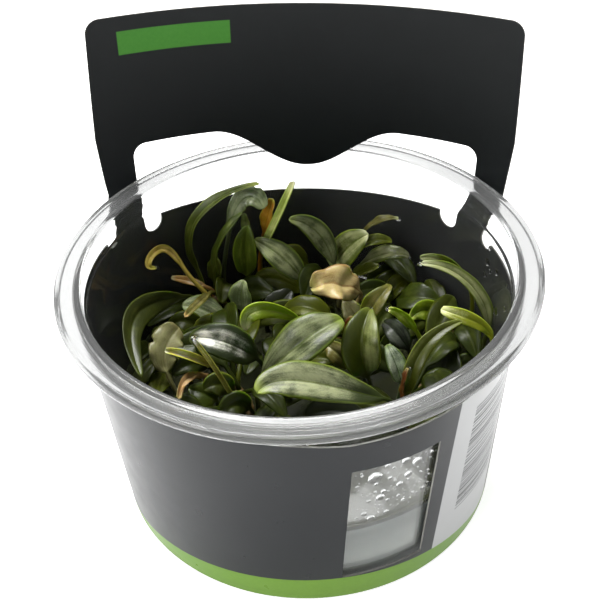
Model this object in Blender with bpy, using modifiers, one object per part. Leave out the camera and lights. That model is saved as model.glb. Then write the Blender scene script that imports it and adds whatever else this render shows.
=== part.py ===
# A clump of small aquarium plants growing on gel in an open clear cup, with a card sleeve round the cup.
# Millimetres throughout. The cup stands on z = 0 about the z axis, and the card's tall header is at +y.
import math
import random

import bmesh
import bpy
import numpy as np
from mathutils import Vector
from mathutils.bvhtree import BVHTree
from mathutils.geometry import delaunay_2d_cdt

MM = 0.001

# cup
CUP_HEIGHT = 58.0
RIM_RADIUS = 50.8
SKIRT_LOW = 55.3
FOOT_RADIUS = 41.65
WALL_SLOPE = 0.0723
WALL = 0.9
FLOOR = 2.2
TURN_STEPS = 48

# gel
GEL_TOP = 22.5
GEL_GAP = 0.35

# card sleeve with its header, laid out flat as u along the wrap and v up
CARD = 0.5
CARD_GAP = 0.5
CARD_BOTTOM = 1.3
CARD_TOP = 50.5
CARD_TURN = math.radians(-2.7)
CARD_TILT = 0.022
WRAP_RADIUS = 44.4
HALF_WRAP = math.pi * WRAP_RADIUS
HEADER_TOP = 94.8
HEADER_LEAN = 0.031
HEADER_SHIFT = -0.4
HEADER_HALF_BOTTOM = 48.8
HEADER_HALF_TOP = 48.4
HEADER_CORNER = 4.0
HEADER_FORWARD = 43.7
HEADER_RADIUS_LOW = 80.0
HEADER_RADIUS_HIGH = 120.0
LEG_INNER = 41.0
LEG_OUTER = 50.4
FLARE_START = 48.0
FLARE_END = 53.4
ARCH_SIDE = 64.6
ARCH_MIDDLE = 64.4
TONGUE_TIP = 54.2
TONGUE_HALF = 22.0
NOTCH = 2.1
NOTCH_LOW = 47.7
BACK_EDGE = 46.1
BACK_RISE = 3.2

# the window in the card: top and bottom edges, and the wrap positions of its left side
WINDOW_TOP = 42.3
WINDOW_BOTTOM = 8.2
WINDOW_LEFT_TOP = 130.0
WINDOW_LEFT_BOTTOM = 132.0
WINDOW_WIDTH = 18.6

# leaves
STALK = 0.5
BLADE = 0.22
CLEAR = 0.22
# each leaf: tint, points on its midrib from stalk to tip, blade width, roll, fold, share that is bare stalk
LEAVES = [
    # the large leaves in front
    ("grey_green", [(22, -14, 30), (15, -15.6, 37), (4, -17.5, 41), (-8, -20.6, 40)], 9.2, -8, 14, 0.12),
    ("grey_green", [(-10, -8, 30), (0, -8, 42), (9, -2, 44)], 10.0, 12, 12, 0.08),
    ("olive", [(15, -3, 26), (13, -4, 38), (15, 4, 42)], 8.5, 0, 28, 0.10),
    ("dark", [(-9, 1, 28), (-16, -3, 38), (-25, 0, 37)], 8.0, 0, 15, 0.12),
    ("olive", [(22, -9, 26), (24, -8, 35), (28, -4, 41), (34, -1, 43)], 5.2, 0, 22, 0.12),
    ("lime", [(42.5, 1, 34), (38, 1.5, 41.5), (31.7, 3, 43)], 5.0, 20, 15, 0.12),
    ("lime", [(0, 14, 28), (-4, 6, 38), (-10, 3, 41), (-12, 0, 37)], 5.4, 25, 18, 0.15),
    ("tan", [(9, 22, 28), (6, 12, 42), (0, 12, 41)], 11.0, 0, 10, 0.05),
    ("bluish", [(23, -7, 27), (21, -6, 34), (18, -3, 38)], 6.4, -10, 25, 0.10),
    ("khaki", [(-13, -13, 28), (-17, -12, 38), (-22, -9, 45)], 2.0, 20, 45, 0.12),
    # the tall ones at the back left
    ("dark", [(-26, 29, 30), (-28, 30, 42), (-20, 32, 50), (-11, 34, 55)], 2.8, 30, 30, 0.15),
    ("olive", [(-26, 26, 28), (-35, 12, 37), (-38, 1, 39), (-34, -12, 36)], 6.0, 40, 15, 0.12),
    ("brown", [(-26.5, 28, 29), (-31.5, 28, 36), (-36.5, 25, 40.3), (-36, 20, 38.3)], 1.7, 20, 30, 0.30),
    ("grey_green", [(-20, 32, 34), (-18, 33, 46), (-14, 33, 52), (-10, 31, 50)], 6.0, 10, 10, 0.25),
    ("pale", [(-13, 38, 30), (-8, 35, 44), (-3, 37, 54)], 3.4, 10, 45, 0.15),
    ("dark", [(-15, 31, 26), (-15, 29, 38), (-14, 30, 46)], 6.0, 0, 25, 0.20),
    ("grey_green", [(-1, 30, 28), (-6, 29, 37), (-13, 31, 41)], 6.5, 10, 12, 0.10),
    ("grey_green", [(7, 29, 31), (3, 30, 43), (-4, 28, 49)], 5.4, 10, 15, 0.15),
    ("dark", [(-23, 31, 28), (-21, 30, 40), (-15, 32, 48)], 3.4, 40, 20, 0.15),
    ("khaki", [(-23, 26, 30), (-25, 16, 34), (-27, 7, 37)], 2.2, 10, 25, 0.20),
    ("khaki", [(-24, 28, 28), (-28, 26, 32), (-33, 24, 35)], 2.0, 0, 25, 0.25),
    ("olive", [(-24, 29, 28), (-23, 29, 33), (-23, 30, 37)], 5.0, 30, 20, 0.15),
    ("lime", [(-16, 34, 30), (-15, 32, 40), (-15, 31, 49)], 2.2, 0, 20, 0.60),
    ("brown", [(-13, 37, 32), (-10, 35, 42), (-8, 35, 50)], 4.0, 20, 20, 0.20),
    # the ones at the back right
    ("grey_green", [(5, 34, 28), (9, 31, 38), (14.5, 29, 44)], 7.5, -10, 15, 0.12),
    ("khaki", [(9, 36, 32), (15, 29, 46.5), (21.5, 28, 49)], 1.8, 20, 30, 0.30),
    ("grey_green", [(10, 35, 28), (18, 29, 38), (24, 28, 38)], 4.2, 10, 20, 0.15),
    ("olive", [(6, 34, 30), (13, 28, 42), (20, 29, 42)], 3.2, 10, 20, 0.20),
    ("pale", [(41, 11, 28), (38.8, 9, 38), (34.2, 11, 44), (26, 12.5, 46.3)], 4.4, -10, 22, 0.12),
    ("lime", [(39, 17, 34), (33, 15, 45.5), (26, 15, 47.5)], 2.3, 30, 20, 0.20),
    ("olive", [(10, 33, 28), (13, 29, 33), (17, 27, 36)], 3.2, 10, 25, 0.15),
    # the middle and right
    ("olive", [(11, 13, 28), (15, 8, 40), (18, 14, 41)], 6.0, 10, 20, 0.15),
    ("lime", [(27, 6, 30), (23, 5, 38), (19, 5, 41)], 2.4, 30, 20, 0.25),
    ("brown", [(22, -11, 28), (22, -12, 34), (23, -11, 38)], 1.8, 60, 20, 0.20),
    ("bright", [(33, 16, 28), (28, 13, 34), (24, 10, 34)], 5.0, 20, 15, 0.15),
    ("bluish", [(24, 5, 28), (21, 6, 33), (18, 10, 33)], 5.0, 10, 20, 0.10),
    ("dark", [(21, 25, 27), (25, 19, 33), (31, 18, 33)], 7.5, 10, 12, 0.10),
    ("pale", [(7, 24, 28), (10, 17, 38), (10, 19, 40)], 5.0, 0, 10, 0.10),
    ("pale", [(13, 17, 27), (11, 15, 32), (9, 17, 34)], 5.0, 20, 15, 0.10),
    ("brown", [(12, 10, 26), (11, 10, 31), (11, 11, 34)], 4.0, 20, 20, 0.15),
    ("khaki", [(11, 1, 26), (8, 0, 32), (5, 2, 33)], 5.0, 10, 15, 0.10),
    # the left
    ("pale", [(-28, -6, 26), (-31, -2, 33), (-28, 4, 36.5)], 9.0, -20, 5, 0.28),
    ("khaki", [(-20, -2, 28), (-25, -4, 34), (-30, -6, 38)], 3.4, 10, 25, 0.12),
    ("tan", [(-23, 1, 26), (-25, -7, 32), (-26, -14, 32)], 4.0, 20, 10, 0.10),
    # low ones, mostly in shade
    ("bluish", [(-20, 18, 26), (-25, 18, 30), (-30, 17, 32)], 7.0, 0, 8, 0.08),
    ("dark", [(-15, 8, 26), (-22, 7, 29), (-31, 4, 30)], 8.0, 0, 15, 0.10),
    ("bluish", [(-16, 22, 26), (-16, 22, 31), (-15, 23, 35)], 6.0, 10, 15, 0.10),
    ("dark", [(-10, 19, 25), (-7, 21, 29), (-4, 24, 31)], 7.0, 0, 15, 0.10),
    ("dark", [(-19, -8, 25), (-21, -9, 28), (-25, -8, 29)], 6.0, 0, 15, 0.10),
    ("dark", [(0, -14, 25), (6, -15, 29), (14, -16, 29)], 7.0, 0, 15, 0.10),
    ("dark", [(28, -5, 24), (31, -2, 29), (33, 3, 32)], 8.0, 0, 15, 0.10),
]
# the points of a ring round a leaf: share of its half width, share of its thickness
RING = [(-1, 0), (0, 1), (1, 0), (0.5, -0.85), (0, -1), (-0.5, -0.85)]
LOW_RING = [(-1, 0), (0, 1), (1, 0), (0, -1)]
# each creeping stem: its two ends and its radius
STEMS = [
    ((-28, 24, 24.6), (-16, 35, 24.6), 1.6),
    ((-4, 33, 24.6), (9, 36, 24.6), 1.6),
    ((3, 22, 24.4), (13, 8, 24.4), 1.5),
    ((-17, 1, 24.6), (-11, -12, 24.6), 1.6),
    ((20, -14, 24.6), (30, 4, 24.6), 1.6),
    ((27, 25, 24.6), (35, 13, 24.6), 1.6),
]
# the low leaves round each stem
LOW_LEAVES = 11
LOW_BARE = 0.3
TRIES = 60
# how far forward and aside the low leaves leave the tub open in front of the clump
FRONT_OPEN = -21.5
FRONT_HALF = 23.5
STEM_KNOBS = (0.45, 0.95, 0.8, 1.0, 0.85, 0.4)
# the way a leaf may slide to pass its neighbours: down and back, or up and forward
SLIDE = np.array([0.0, -0.78, 0.63])


# the surfaces: colour and roughness
SURFACES = {
    "clear": ((0.90, 0.92, 0.92), 0.08),
    "gel": ((0.45, 0.50, 0.52), 0.2),
    "card": ((0.03, 0.032, 0.035), 0.5),
    "stem": ((0.10, 0.06, 0.025), 0.6),
    "olive": ((0.09, 0.115, 0.01), 0.35),
    "dark": ((0.026, 0.045, 0.013), 0.3),
    "bluish": ((0.045, 0.08, 0.07), 0.35),
    "grey_green": ((0.26, 0.30, 0.19), 0.35),
    "bright": ((0.08, 0.26, 0.02), 0.4),
    "lime": ((0.30, 0.40, 0.045), 0.4),
    "khaki": ((0.30, 0.24, 0.07), 0.5),
    "brown": ((0.22, 0.08, 0.02), 0.5),
    "tan": ((0.51, 0.35, 0.16), 0.7),
    "pale": ((0.51, 0.51, 0.30), 0.5),
}
PLANT_IN_CUP = bpy.data.collections.new("aquarium_plant_in_cup")
LOW_LEAF_SHAPES = bpy.data.collections.new("low_leaf_shapes")


def add(name, data, surface):
    """Puts an object in the collection, with a material of its own."""
    colour, rough = SURFACES[surface]
    made = bpy.data.materials.new(name)
    made.use_nodes = True
    shader = made.node_tree.nodes["Principled BSDF"]
    shader.inputs["Base Color"].default_value = (*colour, 1.0)
    shader.inputs["Roughness"].default_value = rough
    shader.inputs["Metallic"].default_value = 0.0
    if surface == "clear":
        shader.inputs["Alpha"].default_value = 0.3
    data.materials.append(made)
    shape = bpy.data.objects.new(name, data)
    PLANT_IN_CUP.objects.link(shape)
    return shape


def mesh_of(name, points, edges, faces):
    mesh = bpy.data.meshes.new(name)
    mesh.from_pydata([tuple(float(c) * MM for c in p) for p in points], edges, faces)
    mesh.update()
    return mesh


# Cup and gel

def wall_outer(z):
    return FOOT_RADIUS + WALL_SLOPE * z


def wall_inner(z):
    return wall_outer(z) - WALL


def turned(name, profile, surface):
    """Turns a profile of (radius, height) that starts and ends on the axis."""
    edges = [(k, k + 1) for k in range(len(profile) - 1)]
    shape = add(name, mesh_of(name, [(r, 0.0, z) for r, z in profile], edges, []), surface)
    screw = shape.modifiers.new("turn", "SCREW")
    screw.axis = "Z"
    screw.angle = 2 * math.pi
    screw.steps = TURN_STEPS
    screw.render_steps = TURN_STEPS
    screw.use_merge_vertices = True
    screw.merge_threshold = 1e-5
    screw.use_smooth_shade = True
    shape.modifiers.new("flat faces look flat", "WEIGHTED_NORMAL")


def cup():
    turned("cup", [
        (0.0, FLOOR),
        (wall_inner(3.4) - 1.2, FLOOR),
        (wall_inner(3.4), 3.4),
        (wall_inner(54.9), 54.9),
        (45.65, 55.6),
        (46.0, 57.6),
        (46.4, CUP_HEIGHT),
        (RIM_RADIUS - 0.6, CUP_HEIGHT),
        (RIM_RADIUS, 57.4),
        (RIM_RADIUS, SKIRT_LOW),
        (RIM_RADIUS - 0.8, SKIRT_LOW),
        (RIM_RADIUS - 0.8, 57.1),
        (46.7, 57.1),
        (46.6, 54.9),
        (wall_outer(54.0), 54.0),
        (wall_outer(0.8), 0.8),
        (41.0, 0.0),
        (38.8, 0.0),
        (38.2, 1.0),
        (0.0, 1.0),
    ], "clear")


def gel():
    turned("gel", [
        (0.0, GEL_TOP),
        (wall_inner(GEL_TOP) - GEL_GAP, GEL_TOP),
        (wall_inner(4.0) - GEL_GAP, 4.0),
        (wall_inner(3.4) - 1.5 - GEL_GAP, FLOOR + GEL_GAP),
        (0.0, FLOOR + GEL_GAP),
    ], "gel")


# Card

def smooth(x, low, high):
    x = min(max((x - low) / (high - low), 0.0), 1.0)
    return x * x * (3 - 2 * x)


def wrapped(u, v):
    """Where a point of the flat card's inner face lies once the card is round the cup."""
    turn = u / WRAP_RADIUS + CARD_TURN
    radius = wall_outer(v - CARD_TILT * FOOT_RADIUS * math.sin(turn)) + CARD_GAP
    x, y = radius * math.sin(turn), radius * math.cos(turn)
    if abs(u) < LEG_OUTER + 1.5:
        up = (v - CUP_HEIGHT) / (HEADER_TOP - CUP_HEIGHT)
        bend = HEADER_RADIUS_LOW + (HEADER_RADIUS_HIGH - HEADER_RADIUS_LOW) * up
        aside = HEADER_SHIFT + HEADER_LEAN * max(0.0, v - CUP_HEIGHT)
        flare = smooth(v, FLARE_START, FLARE_END)
        x += flare * (bend * math.sin(u / bend) + aside - x)
        y += flare * (HEADER_FORWARD + 1.3 * up - bend + bend * math.cos(u / bend) - y)
    return (x, y, v - CARD_TILT * x)


def arc(u, v, radius, start, end, steps):
    turns = np.linspace(math.radians(start), math.radians(end), steps + 1)
    return [(u + radius * math.cos(t), v + radius * math.sin(t)) for t in turns]


def mirrored(path):
    return [(-u, v) for u, v in reversed(path)]


def even(first, last, step):
    """Points from first to last, both included, no further apart than step."""
    count = max(1, math.ceil(math.dist(first, last) / step))
    return [tuple(np.array(first) + (np.array(last) - first) * k / count) for k in range(count + 1)]


def card_outline():
    """The outside edge of the flat card, anticlockwise from the bottom left."""
    outer_notch = LEG_OUTER + NOTCH
    corner = HEADER_HALF_TOP - HEADER_CORNER
    right = even((HALF_WRAP, CARD_BOTTOM), (HALF_WRAP, CARD_TOP), 30)
    right += even((HALF_WRAP, CARD_TOP), (outer_notch + NOTCH, CARD_TOP), 6)[1:]
    right += arc(outer_notch, NOTCH_LOW + 0.8, NOTCH, 0, -180, 6)
    right += even((LEG_OUTER, FLARE_END), (HEADER_HALF_BOTTOM, CUP_HEIGHT), 3)
    right += arc(corner, HEADER_TOP - HEADER_CORNER, HEADER_CORNER, 0, 90, 4)
    bottom = even((-HALF_WRAP, CARD_BOTTOM), (HALF_WRAP, CARD_BOTTOM), 6)
    top = even((corner, HEADER_TOP), (-corner, HEADER_TOP), 9)
    return bottom[:-1] + right + top[1:-1] + mirrored(right)[:-1]


def opening_outline():
    """The hole between the sleeve's back edge, the two legs and the header, with the tongue."""
    notch = LEG_INNER - NOTCH
    half = []
    for k in range(7):
        u = (notch - NOTCH) * k / 6
        half.append((u, BACK_EDGE + BACK_RISE * (u / notch) ** 2))
    half += arc(notch, NOTCH_LOW, NOTCH, -180, 0, 6)
    half += even((LEG_INNER, 50.0), (LEG_INNER, FLARE_END), 2.3)
    half += arc(LEG_INNER - 3, ARCH_SIDE - 3, 3, 0, 90, 3)
    half.append((30.0, 0.5 * (ARCH_SIDE + ARCH_MIDDLE)))
    for k in range(9):
        u = TONGUE_HALF * (1 - k / 8)
        drop = 0.5 * (1 + math.cos(math.pi * u / TONGUE_HALF))
        half.append((u, ARCH_MIDDLE - (ARCH_MIDDLE - TONGUE_TIP) * drop))
    return half[1:] + mirrored(half)[1:]


def window_outline():
    slant = WINDOW_LEFT_BOTTOM - WINDOW_LEFT_TOP
    corners = [
        (WINDOW_LEFT_TOP, WINDOW_TOP),
        (WINDOW_LEFT_TOP - WINDOW_WIDTH, WINDOW_TOP),
        (WINDOW_LEFT_TOP - WINDOW_WIDTH + slant, WINDOW_BOTTOM),
        (WINDOW_LEFT_BOTTOM, WINDOW_BOTTOM),
    ]
    path = []
    for k in range(4):
        path += even(corners[k], corners[(k + 1) % 4], 6)[:-1]
    return path


def inside(u, v, loops):
    crossings = 0
    for loop in loops:
        for (u0, v0), (u1, v1) in zip(loop, loop[1:] + loop[:1]):
            if (v0 > v) != (v1 > v) and u < u0 + (u1 - u0) * (v - v0) / (v1 - v0):
                crossings += 1
    return crossings % 2 == 1


def bend_points(loops):
    """Points inside the outline, so that the flat card can bend between its edges."""
    columns = [u for u, _ in even((-HALF_WRAP, 0), (HALF_WRAP, 0), 5.5)[1:-1]]
    spread = [(u, v) for u in columns for v in (5.0, 25.6, 45.0)]
    spread += [(side * u, v) for side in (-1, 1) for u in (44.0, 47.2) for v in (49.5, 51, 52.5, 54, 58)]
    spread += [(u, v) for u in np.linspace(-42, 42, 11) for v in (70.0, 82.5)]
    edge = [p for loop in loops for p in loop]
    return [(u, v) for u, v in spread if inside(u, v, loops) and min(math.dist((u, v), p) for p in edge) > 1.2]


def card_sleeve():
    """Cuts the card flat, wraps it round the cup, joins the two ends and gives it its thickness."""
    loops = [card_outline(), opening_outline(), window_outline()]
    flat = []
    edges = []
    for loop in loops:
        first = len(flat)
        flat += loop
        edges += [(first + k, first + (k + 1) % len(loop)) for k in range(len(loop))]
    flat += bend_points(loops)
    points, _, triangles, *_ = delaunay_2d_cdt([Vector(p) for p in flat], edges, [], 0, 1e-4)
    outward = [(c, b, a) for a, b, c in triangles if inside(*((points[a] + points[b] + points[c]) / 3), loops)]
    mesh = mesh_of("card_sleeve", [wrapped(u, v) for u, v in points], [], outward)
    mesh.shade_smooth()
    shape = add("card_sleeve", mesh, "card")
    seam = shape.modifiers.new("glued seam", "WELD")
    seam.merge_threshold = 0.01 * MM
    shell = shape.modifiers.new("card thickness", "SOLIDIFY")
    shell.thickness = CARD * MM
    shell.offset = 1.0
    shell.use_even_offset = True
    shape.modifiers.new("flat faces look flat", "WEIGHTED_NORMAL")


# Leaves and stems

def unit(v):
    return v / np.linalg.norm(v)


def along_path(points, t):
    """A smooth curve through all the points, t from 0 at the first to 1 at the last."""
    knots = np.linspace(0, 1, len(points))
    total = np.zeros(3)
    for i, p in enumerate(points):
        others = [(t - k) / (knots[i] - k) for j, k in enumerate(knots) if j != i]
        total += math.prod(others) * np.array(p, float)
    return total


def leaf_shape(points, width, roll, fold, bare, foot=None, grown=0.0, ring=RING):
    """Rings of points across a leaf, from the foot of its stalk to its tip."""
    face = unit(np.array([0.0, -0.6, 0.8]))
    blade_steps = len(ring) // 2 + len(points) - 1
    stops = [0.0, 0.85 * bare] + [bare + (1 - bare) * k / blade_steps for k in range(blade_steps + 1)]
    rings = []
    for k, t in enumerate(stops):
        centre = along_path(points, t)
        ahead = unit(along_path(points, t + 0.01) - along_path(points, t - 0.01))
        if foot is not None and k < 2:
            rise = unit(along_path(points, stops[1]) - foot)
            centre = foot if k == 0 else centre
            ahead = rise if k == 0 else unit(rise + ahead)
        side = unit(np.cross(ahead, face))
        up = np.cross(side, ahead)
        turn = math.radians(roll)
        side, up = side * math.cos(turn) + up * math.sin(turn), up * math.cos(turn) - side * math.sin(turn)
        share = max(0.0, (t - bare) / (1 - bare))
        bulge = math.sin(math.pi * min(share, 1.0) ** 0.85) ** 0.8 if 0 < share < 0.999 else 0.0
        half = STALK + (0.5 * width - STALK) * bulge if share < 0.999 else 0.5 * STALK
        thick = STALK if share <= 0 else BLADE + (STALK - BLADE) * (1 - share) ** 3
        lift = math.tan(math.radians(fold)) if share > 0 else 0.0
        half += grown
        thick += grown
        centre = centre + ahead * grown * (-1 if k == 0 and foot is None else 1 if t > 0.999 else 0)
        for x, y in ring:
            rings.append(centre + side * x * half + up * (abs(x) * half * lift + y * thick))
    count = len(ring)
    faces = []
    for k in range(0, len(rings) - count, count):
        for j in range(count):
            nxt = (j + 1) % count
            faces.append((k + j, k + nxt, k + count + nxt, k + count + j))
    faces.append(tuple(reversed(range(count))))
    faces.append(tuple(range(len(rings) - count, len(rings))))
    return rings, faces


def stem(name, start, end, radius):
    """A short creeping stem, thick in the middle and knobbed, as a closed mesh that can be fused."""
    curve = bpy.data.curves.new(name, "CURVE")
    curve.dimensions = "3D"
    curve.bevel_depth = radius * MM
    curve.bevel_resolution = 2
    curve.use_fill_caps = True
    line = curve.splines.new("POLY")
    line.points.add(len(STEM_KNOBS) - 1)
    line.use_smooth = True
    for k, (point, knob) in enumerate(zip(line.points, STEM_KNOBS)):
        at = Vector(start).lerp(Vector(end), k / (len(STEM_KNOBS) - 1)) * MM
        point.co = (*at, 1.0)
        point.radius = knob
    drawn = bpy.data.objects.new(name, curve)
    PLANT_IN_CUP.objects.link(drawn)
    bpy.context.view_layer.update()
    mesh = bpy.data.meshes.new_from_object(drawn.evaluated_get(bpy.context.evaluated_depsgraph_get()))
    bpy.data.objects.remove(drawn)
    welded = bmesh.new()
    welded.from_mesh(mesh)
    bmesh.ops.remove_doubles(welded, verts=welded.verts, dist=0.001 * MM)
    welded.to_mesh(mesh)
    welded.free()
    return add(name, mesh, "stem")


def tree(points, faces):
    return BVHTree.FromPolygons([Vector(p) for p in points], faces)


def tree_of(shape):
    mesh = shape.evaluated_get(bpy.context.evaluated_depsgraph_get()).to_mesh()
    return tree([v.co / MM for v in mesh.vertices], [tuple(p.vertices) for p in mesh.polygons])


def inside_tub(points):
    return all(p[2] > GEL_TOP and math.hypot(p[0], p[1]) < wall_inner(p[2]) - 0.3 for p in points)


def meets(points, faces, placed):
    trial = tree(points, faces)
    return any(trial.overlap(other) for other in placed)


def settle(path, form, placed):
    """Slides a leaf by the least amount that keeps it clear of the wall and of every earlier piece."""
    sides = [np.zeros(3)]
    for reach in (0.7, 1.4, 2.1):
        for x, z in ((1, 0), (-1, 0), (0, 1), (0, -1), (1, 1), (-1, 1), (1, -1), (-1, -1)):
            sides.append(np.array([x, 0, z]) * reach)
    for aside in sides:
        for slide in sorted(np.arange(-7, 7.1, 0.5), key=abs):
            moved = [np.array(p, float) + aside + SLIDE * slide for p in path]
            points, faces = leaf_shape(moved, *form, grown=CLEAR)
            if inside_tub(points) and not meets(points, faces, placed):
                return moved
    raise ValueError("no room for the leaf that starts at " + str(path[0]))


def rooted(path, form, others):
    """Carries a leaf's stalk down to the gel, at the nearest foot that is clear of every other piece."""
    for reach in np.arange(0, 14.1, 1.0):
        count = max(1, round(2.5 * reach))
        for k in range(count):
            turn = 2 * math.pi * k / count
            foot = np.array([path[0][0] + reach * math.sin(turn), path[0][1] + reach * math.cos(turn), GEL_TOP + 0.6])
            points, faces = leaf_shape(path, *form, foot=foot, grown=0.5 * CLEAR)
            stalk = 2 * len(RING)
            if inside_tub(points[:stalk]) and not meets(points[:stalk], faces[:len(RING)], others):
                return foot
    print("no foot for the leaf that starts at", path[0])
    return None


def low_leaf(chance, first, last):
    """One low leaf at random: it rises from the stem, arches over and hangs a little at its tip."""
    root = np.array(first) + (np.array(last) - first) * chance.uniform(0.2, 0.8)
    heading = chance.uniform(0, 2 * math.pi)
    reach = chance.uniform(9, 22)
    crown = chance.uniform(28.5, 34)
    drop = chance.uniform(-1.5, 4)
    ahead = np.array([math.cos(heading), math.sin(heading), 0.0]) * reach
    path = [root, root + 0.5 * ahead + (0, 0, crown - root[2]), root + ahead + (0, 0, crown - drop - root[2])]
    return path, (chance.uniform(4.6, 7.6), chance.uniform(-25, 25), chance.uniform(5, 25), LOW_BARE)


def low_leaves(number, placed):
    """The low leaves of one stem, each clear of all that is placed but the stem itself."""
    first, last, _ = STEMS[number]
    chance = random.Random(number)
    others = placed[:number] + placed[number + 1:]
    found = []
    for _ in range(LOW_LEAVES):
        for _ in range(TRIES):
            path, form = low_leaf(chance, first, last)
            points, faces = leaf_shape(path, *form, grown=CLEAR, ring=LOW_RING)
            in_front = any(p[1] < FRONT_OPEN and abs(p[0]) < FRONT_HALF for p in points)
            if not in_front and inside_tub(points) and not meets(points, faces, others + found):
                points, faces = leaf_shape(path, *form, ring=LOW_RING)
                found.append(tree(points, faces))
                branch = bpy.data.objects.new("low leaf", mesh_of("low leaf", points, [], faces))
                grow(branch, number)
                break
    placed += found


def grow(branch, number):
    """Fuses a low leaf with its stem."""
    branch.hide_render = True
    branch.display_type = "WIRE"
    LOW_LEAF_SHAPES.objects.link(branch)
    union = bpy.data.objects[f"stem_{number + 1:02d}"].modifiers.new("grown together", "BOOLEAN")
    union.operation = "UNION"
    union.object = branch


def plants():
    stems = [stem(f"stem_{number:02d}", *ends) for number, ends in enumerate(STEMS, 1)]
    bpy.context.view_layer.update()
    placed = [tree_of(shape) for shape in stems]
    paths = []
    for _, path, *form in LEAVES:
        paths.append(settle(path, form, placed))
        placed.append(tree(*leaf_shape(paths[-1], *form)))
    for number, (tint, _, *form) in enumerate(LEAVES, 1):
        here = len(STEMS) + number - 1
        path = paths[number - 1]
        foot = rooted(path, form, placed[:here] + placed[here + 1:])
        points, faces = leaf_shape(path, *form, foot=foot)
        placed[here] = tree(points, faces)
        name = f"leaf_{number:02d}"
        mesh = mesh_of(name, points, [], faces)
        mesh.shade_smooth()
        mesh.set_sharp_from_angle(angle=math.radians(70))
        add(name, mesh, tint)
    for number in range(len(STEMS)):
        low_leaves(number, placed)


def main():
    for old in list(bpy.data.objects):
        bpy.data.objects.remove(old)
    bpy.context.scene.collection.children.link(PLANT_IN_CUP)
    bpy.context.scene.collection.children.link(LOW_LEAF_SHAPES)
    cup()
    gel()
    card_sleeve()
    plants()


main()
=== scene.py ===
import math
import random

import bpy
import numpy as np
from mathutils import Matrix, Vector
from mathutils.bvhtree import BVHTree
from mathutils.geometry import delaunay_2d_cdt


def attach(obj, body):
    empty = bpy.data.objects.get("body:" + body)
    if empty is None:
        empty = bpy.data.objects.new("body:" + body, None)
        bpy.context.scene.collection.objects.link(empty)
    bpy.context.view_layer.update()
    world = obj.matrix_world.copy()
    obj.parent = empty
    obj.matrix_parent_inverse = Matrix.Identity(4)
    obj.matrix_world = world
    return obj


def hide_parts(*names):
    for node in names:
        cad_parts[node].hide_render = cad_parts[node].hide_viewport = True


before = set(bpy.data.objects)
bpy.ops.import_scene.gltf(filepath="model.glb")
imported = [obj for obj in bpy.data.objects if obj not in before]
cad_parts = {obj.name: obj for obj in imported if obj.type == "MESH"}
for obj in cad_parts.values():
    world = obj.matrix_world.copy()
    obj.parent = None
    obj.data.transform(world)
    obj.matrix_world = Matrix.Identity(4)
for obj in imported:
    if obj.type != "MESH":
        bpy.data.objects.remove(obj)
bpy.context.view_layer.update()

MM = 0.001
BODY = "root"

# tub
TUB_HEIGHT = 58.0
RIM_RADIUS = 50.8
LIP_RADIUS = 45.4
LEDGE = 52.3
SKIRT_LOW = 56.2
FOOT_RADIUS = 41.65
WALL_SLOPE = 0.0723
WALL = 0.9
FLOOR = 2.2
RIM_PLATE = 57.55
RIM_UNDER = 56.9
RIM_INNER = 46.3
SKIRT = 0.7
MILKY_ABOVE = 56.0
MILKY_BEYOND = 45.2
TURN_STEPS = 192

# gel
GEL_TOP = 22.5
GEL_GAP = 0.12

# card, laid out flat as u along the wrap and v up
CARD = 0.4
CARD_GAP = 0.5
CARD_BOTTOM = 1.3
CARD_TOP_LEFT = 51.6
CARD_TOP_RIGHT = 49.9
CARD_TOP_SEAM = 51.0
CARD_TURN = math.radians(-2.7)
CARD_TILT = 0.022
WRAP_RADIUS = 44.4
HALF_WRAP = math.pi * WRAP_RADIUS
HEADER_TOP = 94.8
HEADER_LEAN = 0.031
HEADER_SHIFT = -0.4
HEADER_MIDDLE = 68.0
HEADER_HALF_BOTTOM = 48.5
HEADER_HALF_MIDDLE = 49.4
HEADER_HALF_TOP = 48.4
HEADER_CORNER = 3.2
HEADER_FORWARD = 43.7
HEADER_RADIUS_LOW = 80.0
HEADER_RADIUS_HIGH = 120.0
LEG_INNER = 41.0
LEG_OUTER = 50.0
FLARE_START = 49.6
FLARE_END = 54.8
ARCH_SIDE = 64.6
ARCH_MIDDLE = 64.4
TONGUE_TIP = 54.2
TONGUE_HALF = 22.0
NOTCH = 2.6
NOTCH_LOW = 48.2
OUTER_NOTCH = 2.1
BACK_EDGE = 46.1
BACK_RISE = 3.2
WINDOW_TOP = 42.3
WINDOW_BOTTOM = 8.2
WINDOW_LEFT_TOP = 130.0
WINDOW_LEFT_BOTTOM = 132.0
WINDOW_WIDTH = 18.6
ARCH_CORNER = 3.0
CARD_COLUMNS = 112
CARD_STEP = 2.4

# print on the card: the header's green bar, and on the sleeve, from its front right corner, the green band,
# the leaning white panel and its stripes
BAR = (-41.6, -16.6, 86.1, 91.4)
BAND_TOP = 8.1
BAND_CURVE = 0.0022
BAND_DROP = 5.0
PANEL_LEAN = 0.073
PANEL_LOW = 7.2
PANEL_LEFT = 29.6
PANEL_RIGHT = 53.4
STRIPES = (35.2, 50.6, 14.5, 44.8)
STRIPE_SCALE = 1.35

# leaves
STALK = 0.5
BLADE = 0.22
GROOVE = 0.10
KEEL = 0.22
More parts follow.
